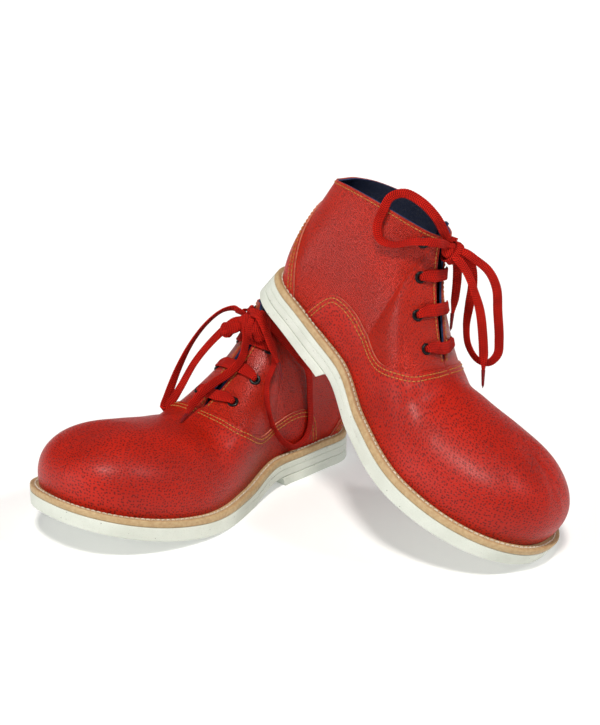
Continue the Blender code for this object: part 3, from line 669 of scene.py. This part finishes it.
def plain_material(name, dark, light, scale, roughness, bump_strength=0.3, bump_distance=0.0003, metallic=0.0,
                   specular=0.3):
    """Material mottled between two colours, with a fine bump."""
    made, tree, shader = new_material(name)
    fine = noise(tree, scale * 6, 3.0)
    add_bump(tree, shader, fine, bump_strength, bump_distance)
    set_inputs(tree, shader, {
        "Base Color": mix_colours(tree, ranged(tree, noise(tree, scale, 5.0), 0.3, 0.7), dark, light),
        "Roughness": ranged(tree, fine, 0.3, 0.7, roughness - 0.05, roughness + 0.05),
        "Metallic": metallic, "Specular IOR Level": specular})
    return made


def rubber_material(name):
    """White sole rubber with a few grey specks."""
    made, tree, shader = new_material(name)
    specks = add_node(tree, "TexVoronoi", {"Vector": object_coords(tree), "Scale": 1 / (7 * MM)})
    fine = noise(tree, 1500.0, 3.0)
    clean = mix_colours(tree, ranged(tree, noise(tree, 40.0, 5.0), 0.3, 0.7),
                        (0.61, 0.645, 0.57, 1), (0.69, 0.725, 0.65, 1))
    grain = mix_colours(tree, ranged(tree, fine, 0.25, 0.45), (0.55, 0.57, 0.50, 1), clean)
    speck = ranged(tree, specks.outputs["Distance"], 0.05, 0.09)
    add_bump(tree, shader, fine, 0.35, 0.0003)
    set_inputs(tree, shader, {"Base Color": mix_colours(tree, speck, (0.30, 0.31, 0.27, 1), grain),
                              "Roughness": 0.6})
    return made


def lace_material(name, groove, thread):
    """Flat woven cotton: a herringbone of ribs along the lace, with a little fuzz; its grooves and slow patches
    along it are darkened as painted shade.
    """
    made, tree, shader = new_material(name)
    parts = add_node(tree, "SeparateXYZ", {0: stored_coords(tree, "weave")}).outputs
    slant = times(tree, math_node(tree, "ABSOLUTE", parts["Y"]), 1.5)
    phase = plus(tree, times(tree, parts["X"], 2 * math.pi / 1.6), slant)
    ribs = ranged(tree, math_node(tree, "SINE", phase), -1.0, 1.0)
    columns = ranged(tree, math_node(tree, "SINE", times(tree, parts["Y"], 3.1)), -1, 1)
    woven = plus(tree, times(tree, ribs, 0.6), times(tree, columns, 0.25))
    height = plus(tree, woven, times(tree, noise(tree, 1800.0, 2.0), 0.5))
    # Slow patches where the thread colour is dimmed towards the groove colour: painted shade along the lace.
    shade_patches = mix_colours(tree, ranged(tree, noise(tree, 90.0, 2.0), 0.35, 0.65), groove, thread)
    threads = mix_colours(tree, 0.65, shade_patches, thread)
    add_bump(tree, shader, height, 0.9, 0.0005)
    # Low parts of the weave take the groove colour: painted shade in the grooves between the ribs.
    set_inputs(tree, shader, {
        "Base Color": mix_colours(tree, ranged(tree, height, 0.3, 0.9), groove, threads),
        "Roughness": 0.85, "Sheen Weight": 0.02, "Specular IOR Level": 0.08})
    return made


# Leathers: colour, pit colour (painted shade of the pits and creases), pit size in mm, share of pits, creases,
# roughness, then bump and finish.
# Plain materials: two colours, scale of their mottling, roughness, then bump.
MATERIALS = {
    # The vamp and the quarter (also used on the heel patch) are one red leather: the vamp's darker red is painted
    # shade on the boot's front, the quarter's lighter red painted light on its sides.
    "vamp": leather_material("red_grain_vamp", (0.45, 0.0105, 0.0016, 1), (0.15, 0.003, 0.001, 1),
                             2.7, 0.36, 0.3, 0.42, 0.6),
    "quarter": leather_material("red_grain_quarter", (0.64, 0.018, 0.0025, 1), (0.26, 0.006, 0.001, 1),
                                2.3, 0.30, 1.0, 0.34, 1.0, 0.0010, 0.08, 0.36),
    "flesh": plain_material("flesh_side", (0.45, 0.12, 0.08, 1), (0.60, 0.22, 0.15, 1), 400, 0.85),
    "raw_edge": plain_material("raw_cut_edge", (0.50, 0.12, 0.07, 1), (0.70, 0.24, 0.15, 1), 500, 0.8),
    "lining": leather_material("navy_lining", (0.012, 0.018, 0.045, 1), (0.004, 0.006, 0.018, 1),
                               1.7, 0.3, 0.6, 0.40),
    "top_edge": plain_material("red_cut_edge", (0.30, 0.03, 0.015, 1), (0.46, 0.07, 0.035, 1), 500, 0.8),
    # Navy cut edge of the lining and the tongue: its own navy, dimmed as painted shade for the deep gap between
    # the facings.
    "lining_edge": plain_material("navy_edge", (0.010, 0.022, 0.07, 1), (0.026, 0.05, 0.15, 1), 500, 0.6),
    "thread": plain_material("ochre_thread", (0.32, 0.11, 0.02, 1), (0.62, 0.26, 0.06, 1), 700, 0.6),
    "welt": plain_material("tan_welt", (0.44, 0.29, 0.145, 1), (0.53, 0.38, 0.205, 1), 300, 0.55, 0.4),
    "welt_thread": plain_material("ivory_thread", (0.50, 0.42, 0.30, 1), (0.78, 0.72, 0.60, 1), 500, 0.75),
    "rubber": rubber_material("white_rubber"),
    "eyelet": plain_material("black_enamel", (0.004, 0.004, 0.004, 1), (0.008, 0.008, 0.009, 1),
                             300, 0.3, 0.1, specular=0.2),
    # Lace: groove colour (painted shade in the grooves and patches), then the thread's red.
    "lace": lace_material("red_lace", (0.16, 0.004, 0.003, 1), (0.60, 0.014, 0.006, 1)),
    "aglet": plain_material("wrapped_lace_tip", (0.10, 0.004, 0.005, 1), (0.24, 0.008, 0.010, 1), 900, 0.45),
    "footbed": leather_material("brown_footbed", (0.16, 0.10, 0.06, 1), (0.08, 0.05, 0.03, 1),
                                1.8, 0.3, 0.5, 0.6),
    "board": plain_material("fibre_board", (0.30, 0.21, 0.13, 1), (0.42, 0.31, 0.20, 1), 300, 0.85),
    "stiffener": plain_material("stiffener_cloth", (0.55, 0.50, 0.40, 1), (0.66, 0.61, 0.50, 1), 500, 0.85),
    "steel": plain_material("shank_steel", (0.35, 0.35, 0.37, 1), (0.5, 0.5, 0.52, 1), 200, 0.35,
                            metallic=1.0),
}


# ---- Upper ----

def edge_curve(table):
    """Smooth (u, v) curve through a table's points, dense enough to sew along."""
    rows = []
    for u, v in table:
        point = surface([u], [v])[0][0]
        rows.append((*point, u, v))
    return through(rows, 2.0)[:, 3:]


WING_CURVE = edge_curve(WING)
PATCH_CURVE = edge_curve(PATCH)
WING_LINE = surface(WING_CURVE[:, 0], np.minimum(WING_CURVE[:, 1], 1.0))[0]
PATCH_LINE = surface(PATCH_CURVE[:, 0], PATCH_CURVE[:, 1])[0]
OVERLAP, LAP_FADE = 9.0, 16.0
UNDER_THROAT = 0.572              # the quarters' facings end here, under the vamp
FOOT = -0.012                     # panels reach a little below the feather line, onto the welt
CLEARANCE = 0.1                   # between the back of a panel and what lies under it


def wing(u):
    return float(np.interp(u, WING_CURVE[:, 0], WING_CURVE[:, 1]))


def patch(u):
    return float(np.interp(u, PATCH_CURVE[:, 0], PATCH_CURVE[:, 1]))


def quarter_low(u):
    if u <= PATCH_CURVE[-1, 0]:
        return max(patch(u) - OVERLAP / rib_length(u), FOOT)
    if u < WING_CURVE[0, 0]:
        return FOOT
    return max(min(wing(min(u, 0.53)), 0.93) - OVERLAP / rib_length(u), FOOT)


def lapped(off):
    """Face of a panel that laps over another: lifted near its edge, by the distance from it."""
    return lambda from_edge: LEATHER * (1 - smooth((from_edge - OVERLAP - 1) / LAP_FADE)) + off


def even(off):
    return lambda from_edge: np.full(len(from_edge), off)


def stations(low, high, count, also=()):
    marks = set(np.round(np.linspace(low, high, count), 5)) | {round(v, 5) for v in also}
    return sorted(float(m) for m in marks)


def make_quarters(boot):
    us = stations(0, UNDER_THROAT, 200, [U_CORNER, U_THROAT])
    for name, side in (("quarter_outer", 1), ("quarter_inner", -1)):
        made = panel(boot, name, (side,), us, quarter_low, lambda u: 1.0, 60,
                     even(CLEARANCE), even(LEATHER), ["quarter", "flesh", "top_edge"])
        punch_holes(boot, made, side)
        stand_for(made, boot, name)


HOLE_RADIUS, PUNCH_LENGTH = 3.2, 8.0


def punch_holes(boot, made, side):
    """Holes for the eyelets, cut with short cylinders that are removed again."""
    for u, v in EYELETS:
        bpy.ops.mesh.primitive_cylinder_add(vertices=20, radius=HOLE_RADIUS * MM, depth=PUNCH_LENGTH * MM)
        cutter = bpy.context.object
        cutter.matrix_world = eyelet_seat(boot, u, v, side)
        hole = made.modifiers.new("hole", "BOOLEAN")
        hole.operation = "DIFFERENCE"
        hole.object = cutter
        bpy.context.view_layer.update()
        evaluated = made.evaluated_get(bpy.context.evaluated_depsgraph_get())
        cut = bpy.data.meshes.new_from_object(evaluated)
        made.modifiers.clear()
        made.data = cut
        bpy.data.objects.remove(cutter)


def eyelet_seat(boot, u, v, side):
    """Place and turn of an eyelet, with its z axis out of the leather."""
    place = boot.world(boot.upper([u], [v], side, LEATHER)[0])
    facing = boot.direction(surface([u], [v])[1][0] * [1, side, 1])
    return Matrix.Translation(Vector(place)) @ Vector(facing).to_track_quat("Z", "Y").to_matrix().to_4x4()


# Part of the bulb's ridge that is evened out: from this x, this far to each side, above this z
RELAX_FROM, RELAX_HALF, RELAX_ABOVE = 228, 16, 82
RELAX_STEPS = 40


def relax_bulb(boot, made):
    """Evens out the bulb's ridge behind the toe tip, where the ribs run together."""
    mesh = bmesh.new()
    mesh.from_mesh(made.data)
    local = (np.array([v.co for v in mesh.verts]) - boot.place) @ boot.turn / MM + [HEEL_CENTRE, 0, 0]
    near = (local[:, 0] > RELAX_FROM) & (np.abs(local[:, 1]) < RELAX_HALF) & (local[:, 2] > RELAX_ABOVE)
    verts = [v for v, inside in zip(mesh.verts, near) if inside]
    for _ in range(RELAX_STEPS):
        bmesh.ops.smooth_vert(mesh, verts=verts, factor=0.5, use_axis_x=True, use_axis_y=True,
                              use_axis_z=True)
    mesh.to_mesh(made.data)
    mesh.free()


def make_vamp(boot):
    us = stations(WING_CURVE[0, 0], U_THROAT, 130) + stations(U_THROAT + 0.0035, 1, 100)
    made = panel(boot, "vamp", (1, -1), us, lambda u: FOOT, lambda u: wing(u) if u < U_THROAT else 1.0, 60,
                 lapped(CLEARANCE), lapped(LEATHER), ["vamp", "flesh", "raw_edge"], WING_LINE)
    relax_bulb(boot, made)
    stand_for(made, boot, "vamp")


def make_heel_patch(boot):
    us = stations(0, PATCH_CURVE[-1, 0], 40)
    made = panel(boot, "heel_patch", (1, -1), us, lambda u: FOOT, patch, 50,
                 lapped(CLEARANCE), lapped(LEATHER), ["quarter", "flesh", "raw_edge"], PATCH_LINE)
    stand_for(made, boot, "heel_patch")


LINING_OFF, LINING_THICK = -1.5, 1.45
LINING_DROP, DROP_FROM, DROP_OVER = 2.9, 8.0, 20.0    # below the topline it makes room for the stiffeners


def make_lining(boot):
    us = stations(0, 0.5, 110) + stations(0.505, 1, 70)

    def inner(from_edge):
        return LINING_OFF - LINING_DROP * smooth((from_edge - DROP_FROM) / DROP_OVER)

    made = panel(boot, "lining", (1, -1), us, lambda u: 0.0, lambda u: 1.0, 40,
                 inner, lambda d: inner(d) + LINING_THICK, ["lining", "lining", "lining_edge"])
    stand_for(made, boot, "lining")


def tongue_face(boot):
    """Outer face of the tongue as rows of boot points, from its root up to its free, rounded end."""
    rows, across = [], 12
    for u in stations(*TONGUE_U, 40)[::-1]:
        shares = np.linspace(float(table_value(TONGUE_SIDE, u)), 1, across)
        halves = [boot.upper([u] * across, vs, side, TONGUE_OFF + TONGUE_THICK)
                  for vs, side in ((shares, 1), (shares[::-1], -1))]
        rows.append(np.vstack(halves))
    top = rows[-1]
    rise = unit(top - rows[-3])
    rounding = 1 - 0.75 * np.abs(np.linspace(-1, 1, len(top))) ** 3
    for share in np.arange(1, 8) / 7:
        lifted = top + rise * (TONGUE_RISE * share * rounding)[:, None]
        middle = lifted.mean(axis=0)
        rows.append(middle + (lifted - middle) * (1 - 0.25 * share ** 2))
    return np.array(rows)


def make_tongue(boot):
    outer = tongue_face(boot)
    normal = unit(np.cross(np.gradient(outer, axis=1), np.gradient(outer, axis=0)))
    if (normal * (outer - outer.mean(axis=(0, 1)))).sum() < 0:
        normal = -normal
    inner = outer - normal * TONGUE_THICK
    columns, count = outer.shape[:2]
    size = columns * count
    faces = grid(columns, count) + grid(columns, count, size)
    kinds = [0] * len(faces)
    for a, b in rim_pairs(columns, count):
        faces.append((a, b, size + b, size + a))
        kinds.append(1)
    points = boot.world(np.vstack([outer.reshape(-1, 3), inner.reshape(-1, 3)]))
    made = mesh_object(boot.prefix + "tongue_leather", points, faces, ["lining", "lining_edge"], kinds)
    stand_for(made, boot, "tongue", boot.tongue)


STITCH = {"pitch": 3.7, "share": 0.78, "radius": 0.42, "rise": 0.3}
WELT_STITCH = {"pitch": 4.6, "share": 0.8, "radius": 0.65, "rise": 0.45}
LAP_INSETS, TOPLINE_INSET, FACING_INSET = (2.6, 6.2), 2.4, 2.6


def make_stitching(boot):
    rows = []
    wing_part = WING_CURVE[WING_CURVE[:, 1] > 0.02]
    patch_part = PATCH_CURVE[(PATCH_CURVE[:, 0] > 0.002) & (PATCH_CURVE[:, 1] > 0.04)]
    for side in (1, -1):
        for inset in LAP_INSETS:
            for part in (wing_part, patch_part):
                rows.append(edge_row(boot, part[:, 0], part[:, 1], side, inset, 2 * LEATHER))
        edges = ((0.002, U_CORNER - 0.004, TOPLINE_INSET), (U_CORNER + 0.006, 0.528, FACING_INSET))
        for low, high, inset in edges:
            rows.append(edge_row(boot, np.linspace(low, high, 90), np.ones(90), side, inset, LEATHER))
    made = stitching(boot.prefix + "upper_stitching", rows, "thread", **STITCH)
    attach(made, boot.body)


# ---- Soles ----

SOLE_U = stations(0, 1, 170, [U_HEEL, U_BULB])
GROOVE_AT, GROOVE_HALF, GROOVE_DEEP = 7.0, 0.2, 0.5    # moulded line round the back of the outsole
GROOVE_ENDS = (0.34, 0.52)                             # where it fades out, from back to front


def outline_point(u, inset, side):
    x, y = inset_edge(u, inset)
    return x, side * y + sway(x)


def slab(boot, name, us, profile, is_block=False, groove=0.0):
    """Rubber solid with the sole's outline; profile lists (inset, height above the outsole's underside).

    The heel block has its heights from the ground, and a closed, slanting front.
    """
    points = []
    for side in (1, -1):
        for u in us:
            for inset, height in profile:
                if abs(height - GROOVE_AT) < GROOVE_HALF:
                    inset += groove * (1 - smooth((u - GROOVE_ENDS[0]) / (GROOVE_ENDS[1] - GROOVE_ENDS[0])))
                x, y = outline_point(u, inset, side)
                base = 0.0 if is_block else ground(x)
                if is_block and x > BREAST_FOOT - 4:
                    x -= (BREAST_TOP - BREAST_FOOT) * (1 - height / HEEL_BLOCK)
                points.append((x, y, base + height))
    rows, count = len(profile), len(us)
    size = rows * count
    faces = grid(count, rows) + grid(count, rows, size)
    for i in range(count - 1):
        for row in (0, rows - 1):
            a, b = i * rows + row, (i + 1) * rows + row
            faces.append((a, b, size + b, size + a))
    if is_block:
        front = tuple(range(size - rows, size))
        faces.append(front + tuple(size + k for k in reversed(front)))
    return mesh_object(boot.prefix + name, boot.world(points), faces, ["rubber"], smooth_angle=35)


def rounded(low, high, radius, steps=4):
    """Side profile between two heights with rounded edges: (inset, height) pairs."""
    arc = [(radius * (1 - math.sin(a)), radius * (1 - math.cos(a)))
           for a in np.linspace(0, math.pi / 2, steps + 1)]
    return [(i, low + h) for i, h in arc] + [(i, high - h) for i, h in reversed(arc)]


def make_sole(boot):
    profile = rounded(0, OUTSOLE - 0.1, 1.2)
    half = len(profile) // 2
    profile[half:half] = [(0, GROOVE_AT + step) for step in (-0.35, -0.1, 0.1, 0.35)]
    outsole = slab(boot, "outsole_rubber", SOLE_U, profile, groove=GROOVE_DEEP)
    stand_for(outsole, boot, "outsole")
    block = slab(boot, "heel_rubber", [u for u in SOLE_U if u < U_BREAST] + [U_BREAST],
                 rounded(0, HEEL_BLOCK - 0.15, 1.0), is_block=True)
    stand_for(block, boot, "heel_block")


# Section of the welt: (inset, height above the outsole), with a rounded lip and the channel of its stitches
WELT_SECTION = [(15, 0), (1, 0), (0.4, 0.3), (0.1, 1.2), (0.1, 4.4), (0.4, 5.3), (1.1, WELT),
                (3.0, WELT - 0.1), (5.0, WELT - 0.5), (7.0, WELT - 0.1), (15, WELT)]


def make_welt(boot):
    """Tan strip round the sole, and its lockstitch."""
    columns = [(u, 1) for u in SOLE_U] + [(u, -1) for u in reversed(SOLE_U[1:-1])]

    def round_sole(inset, height):
        line = [outline_point(u, inset, side) for u, side in columns]
        return [(x, y, ground(x) + (OUTSOLE + height)) for x, y in line]

    points = [p for column in zip(*(round_sole(*place) for place in WELT_SECTION)) for p in column]
    faces = closed_grid(len(columns), len(WELT_SECTION))
    made = mesh_object(boot.prefix + "welt_strip", boot.world(points), faces, ["welt"], smooth_angle=50)
    stand_for(made, boot, "welt")
    row = round_sole(4.6, WELT - 0.25)
    world = boot.world(row + row[:1]) / MM
    normals = np.repeat(boot.direction([(0, 0, 1)]), len(world), axis=0)
    stitches = stitching(boot.prefix + "welt_stitching", [(world, normals)], "welt_thread", **WELT_STITCH)
    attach(stitches, boot.body)


# ---- Eyelets ----

def make_eyelets(boot):
    """Rolled black rings: a turned profile with a round flange and a barrel."""
    flange = [(3.75 + 1.25 * math.cos(a), 0.15 + 1.05 * math.sin(a))
              for a in np.linspace(0, math.pi * 0.93, 12)]
    profile = [(5.0, -0.1)] + flange + [(2.35, -0.5), (1.3, -1.3), (1.3, -2.2), (2.75, -2.2), (2.8, -0.4)]
    steps = 36
    faces = closed_grid(steps, len(profile))
    for side, side_name in ((1, "outer"), (-1, "inner")):
        for number, (u, v) in enumerate(EYELETS, 1):
            matrix = eyelet_seat(boot, u, v, side)
            points = [matrix @ Vector((r * MM * math.cos(a), r * MM * math.sin(a), z * MM))
                      for a in circle(steps) for r, z in profile]
            node = f"eyelet_{side_name}_{number}"
            made = mesh_object(boot.prefix + node + "_ring", points, faces, ["eyelet"], smooth_angle=50)
            stand_for(made, boot, node)


# ---- Laces ----

def upper_place(boot, u, v, side, off):
    return boot.world(boot.upper([u], [v], side, off)[0]) / MM


def facing_ways(boot, u, v, side):
    """World directions along the facing and up the rib at a point of the upper."""
    _, _, along, across = surface([u], [v])
    return (unit(boot.direction(way[0] * [1, side, 1])) for way in (along, across))


def lace_strip(places, ways, widths, spacing=0.8):
    joined = through(np.column_stack([places, ways, widths]), spacing)
    return joined[:, :3], joined[:, 6], joined[:, 3:6]


# A bar's way from an eyelet to the facing's edge: (share of the way, height over the leather's base, width)
BAR_STEPS = [(0.0, -1.5, 4.4), (0.0, 1.6, 5.2), (0.07, 3.3, 6.6), (0.25, 3.6, 8.6), (0.55, 3.5, BAR_WIDTH),
             (0.85, 3.9, BAR_WIDTH)]


def bar_strip(boot, number):
    """Lace bar: out of one eyelet, over the facing gap and down into the other."""
    u, v = EYELETS[number]
    rows = []
    for side, order in ((1, BAR_STEPS), (-1, BAR_STEPS[::-1])):
        for share, off, width in order:
            here = (u + (BAR_EDGES[number] - u) * share, v + (1 - v) * share, side)
            along, _ = facing_ways(boot, *here)
            rows.append((upper_place(boot, *here, off), along, width))
    return lace_strip(*zip(*rows))


def run_strip(boot, side, first, last):
    """Lace run under the facing between two eyelets of one side."""
    rows = []
    for share in (0, 0.3, 0.7, 1):
        u, v = (a + (b - a) * share for a, b in zip(EYELETS[first], EYELETS[last]))
        _, across = facing_ways(boot, u, v, side)
        rows.append((upper_place(boot, u, v, side, -3.4), across, 4.0 + 3.0 * math.sin(math.pi * share)))
    return lace_strip(*zip(*rows))


def top_strip(boot, side):
    """Lace end from the top eyelet over the facing into the knot."""
    u, v = EYELETS[-1]
    places = [upper_place(boot, u, v, side, off) for off in (-1.5, 1.8)]
    places.append(upper_place(boot, u + 0.008, v + 0.02, side, 4.0))
    for back, out in ((-4, 11), (-1, 4)):
        places.append(boot.world(np.array(KNOTS[boot.prefix], float) + [back, side * out, 0]) / MM)
    along, _ = facing_ways(boot, u, v, side)
    return lace_strip(places, [along] * 5, [3.6, 4.4, 6.5, LACE_WIDTH - 1, 6.0])


def make_lacing(boot):
    strips = [bar_strip(boot, k) for k in range(3)] + [top_strip(boot, side) for side in (1, -1)]
    strips += [run_strip(boot, side, first, last) for side, first, last in ((1, 3, 2), (-1, 2, 1), (1, 1, 0))]
    stand_for(lace_object(boot.prefix + "lacing_ribbon", strips), boot, "lacing")


def turned_ways(route, turns):
    """Width directions of a lace that shows its face at 0 degrees and its edge at 90."""
    along = unit(np.gradient(route, axis=0))
    level = unit(np.cross(along, VIEW))
    angles = np.radians(turns)[:, None]
    return np.cos(angles) * level + np.sin(angles) * VIEW


# A lace is pressed narrow at the knot and a tail narrows to its tip: (share of its width there, length in mm)
KNOT_PINCH, TIP_PINCH = (0.72, 12.0), (0.36, 16.0)


def pinched(run, pinch):
    share, length = pinch
    return share + (1 - share) * smooth(run / length)


def bow_strip(route, turns, knot, is_tail):
    """Ribbon of a loop or a tail, from inside the knot."""
    rows = np.column_stack([route, turns])
    start, end = rows[0].copy(), rows[-1].copy()
    for row in (start, end):
        row[:3] = knot + (row[:3] - knot) * INTO_KNOT
    rows = np.vstack([[start], rows] if is_tail else [[start], rows, [end]])
    joined = through(rows, 0.8)
    points = joined[:, :3]
    run = run_along(points)
    end_pinch = TIP_PINCH if is_tail else KNOT_PINCH
    widths = LACE_WIDTH * pinched(run, KNOT_PINCH) * pinched(run[-1] - run, end_pinch)
    return points, widths, turned_ways(points, joined[:, 3])


AGLET_THICK, AGLET_TAPER = 1.75, 0.75    # radius where it starts, and how much less it is at the tip
AGLET_TURNS = 11


def aglet(boot, node, route):
    """Tip of a lace, wound tight: a tapering tube with fine turns."""
    start, end = (np.array(p, float) for p in route)
    along = unit(end - start)
    start = start - along * AGLET_GRIP
    side = unit(np.cross(along, VIEW))
    other = np.cross(along, side)
    steps, corners = 40, 12
    points = []
    for share in np.arange(steps + 1) / steps:
        turns = 1 + 0.06 * math.sin(share * 2 * math.pi * AGLET_TURNS)
        radius = (AGLET_THICK - AGLET_TAPER * share) * turns
        radius *= 1 - 0.75 * smooth((share - 0.8) / 0.2)
        points += [start + (end - start) * share + radius * (math.cos(a) * side + 0.8 * math.sin(a) * other)
                   for a in circle(corners)]
    faces = tube(steps + 1, corners)
    made = mesh_object(boot.prefix + node + "_tip", np.array(points) * MM, faces, ["aglet"], weld=0)
    stand_for(made, boot, node)
    return made


def make_bow(boot):
    for name, (route, turns) in BOWS[boot.prefix].items():
        is_tail = name.startswith("tail")
        strip = bow_strip(route, turns, boot.world(KNOTS[boot.prefix]) / MM, is_tail)
        made = lace_object(boot.prefix + name + "_ribbon", [strip])
        stand_for(made, boot, name)
        tips = []
        if is_tail:
            tip = name.replace("tail", "aglet")
            tips = [aglet(boot, tip, AGLETS[boot.prefix][tip])]


def gathered_lump(centre, axis, up, out, half, tall, deep):
    """Core of the knot: the laces' folds pressed together, pinched in the middle under the band."""
    columns, corners = 34, 36
    points, weave = [], []
    for along in half * (2 * np.arange(columns + 1) / columns - 1):
        close = max(1 - abs(along / half) ** 3.2, 0.0) ** 0.5
        swell = 0.88 + 0.2 * math.sin(along / half * 2.6 + 0.6) - 0.22 * math.exp(-(along / 3.2) ** 2)
        lift = 0.6 * math.sin(along / 4)
        for angle in circle(corners):
            fold = 1 + 0.10 * math.cos(3 * angle + along / 4) + 0.05 * math.cos(7 * angle - along / 3)
            size = max(close * swell * fold, 0.02)
            points.append(centre + axis * along + up * (tall * size * math.cos(angle) + lift)
                          + out * deep * size * math.sin(angle))
            weave.append((along, (angle - math.pi) * (tall + deep) / 2, 1.0))
    return points, tube(columns + 1, corners), weave


# Turns of the band round the knot: (shift along the bow, tilt, share of the bunch's size)
BAND_TURNS, BAND_WIDTH, BAND_POINTS = ((-0.8, 0.30, 1.0), (1.3, -0.22, 0.96)), 6.2, 60


def make_knot(boot):
    """Tied middle of the bow: a gathered core, with a band wound round it between the two loops."""
    centre = boot.world(KNOTS[boot.prefix]) / MM + KNOT_SAG[boot.prefix]
    half, tall, deep = KNOT_SIZES[boot.prefix]
    loops = [np.array(BOWS[boot.prefix][name][0], float) for name in ("loop_a", "loop_b")]
    sides = [(loop[0] + loop[-1]) / 2 for loop in loops]
    axis = unit(sides[1] - sides[0])
    up = unit(np.cross(axis, VIEW))
    if up[2] < 0:
        up = -up
    out = -unit(VIEW - axis * (VIEW @ axis))
    strips = []
    angles = np.linspace(0, 2 * math.pi, BAND_POINTS)
    for shift, tilt, grow in BAND_TURNS:
        ring = np.array([centre + axis * (shift + tilt * 4 * math.sin(a)) + up * tall * grow * math.cos(a)
                         + out * (deep * grow + 0.4) * math.sin(a) for a in angles])
        ways = np.repeat([unit(axis + tilt * up)], BAND_POINTS, axis=0)
        strips.append((ring, np.full(BAND_POINTS, BAND_WIDTH), ways))
    lumps = [gathered_lump(centre, axis, up, out, half, tall, deep)]
    for shift, way, size in KNOT_LOBES[boot.prefix]:
        way = unit(np.array(way, float))
        lumps.append(gathered_lump(centre + shift, way, unit(np.cross(way, out)), out, *size))
    stand_for(lace_object(boot.prefix + "knot_ribbon", strips, lumps), boot, "bow_knot")


# ---- Carried-over CAD pieces, camera, light ----

def dress_frame(boot):
    """Materials for the CAD pieces that stay as they are, all inside the boot."""
    for node, finish in (("insole", "board"), ("footbed", "footbed"), ("shank", "steel"),
                         ("heel_counter", "stiffener"), ("toe_puff", "stiffener")):
        mesh = frame["nodes"][boot.prefix + node].data
        mesh.materials.clear()
        mesh.materials.append(MATERIALS[finish])


def soft_sun(name, towards, strength, spread, colour=(1, 1, 1)):
    """Far, wide lamp that lies in the given direction as seen from the object."""
    data = bpy.data.lights.new(name, "SUN")
    data.energy = strength
    data.color = colour
    data.angle = math.radians(spread)
    add_object(name, data).rotation_euler = Vector(towards).to_track_quat("Z", "Y").to_euler()


FLOOR_HALF = 16                   # metres, so that no edge is seen
FLOOR_GLOW, WORLD_LIGHT = 0.26, 0.17


def make_stage():
    floor_material, tree, shader = new_material("pale_floor")
    set_inputs(tree, shader, {
        "Base Color": (0.8, 0.8, 0.8, 1), "Roughness": 0.9, "Specular IOR Level": 0.1,
        "Emission Color": (1, 1, 1, 1), "Emission Strength": FLOOR_GLOW})
    mesh = bpy.data.meshes.new("floor")
    mesh.from_pydata([(FLOOR_HALF * x, FLOOR_HALF * y, 0) for x, y in ((-1, -1), (1, -1), (1, 1), (-1, 1))],
                     [], [(0, 1, 2, 3)])
    mesh.materials.append(floor_material)
    add_object("floor", mesh)
    world = bpy.data.worlds.new("studio")
    world.use_nodes = True
    set_inputs(world.node_tree, world.node_tree.nodes["Background"],
               {"Color": (1, 1, 1, 1), "Strength": WORLD_LIGHT})
    bpy.context.scene.world = world
    bpy.context.scene.view_settings.view_transform = "Standard"
    soft_sun("key", (-0.05, -0.5, 0.86), 2.4, 10, (1, 0.96, 0.91))
    soft_sun("right", (0.68, -0.25, 0.68), 0.8, 12)
    soft_sun("left", (-0.86, -0.5, 0.14), 1.3, 40)


def make_camera():
    data = bpy.data.cameras.new("camera")
    data.lens, data.sensor_width = CAMERA_LENS, SENSOR
    camera = add_object("camera", data)
    camera.location = CAMERA_PLACE
    camera.rotation_euler = (math.pi / 2 - CAMERA_DOWN, 0, 0)
    bpy.context.scene.camera = camera


make_camera()
make_stage()
for boot in (Boot("left_", 1), Boot("right_", -1)):
    dress_frame(boot)
    for make in (make_bow, make_lacing, make_knot, make_quarters, make_vamp, make_heel_patch, make_lining,
                 make_tongue, make_stitching, make_sole, make_welt, make_eyelets):
        make(boot)
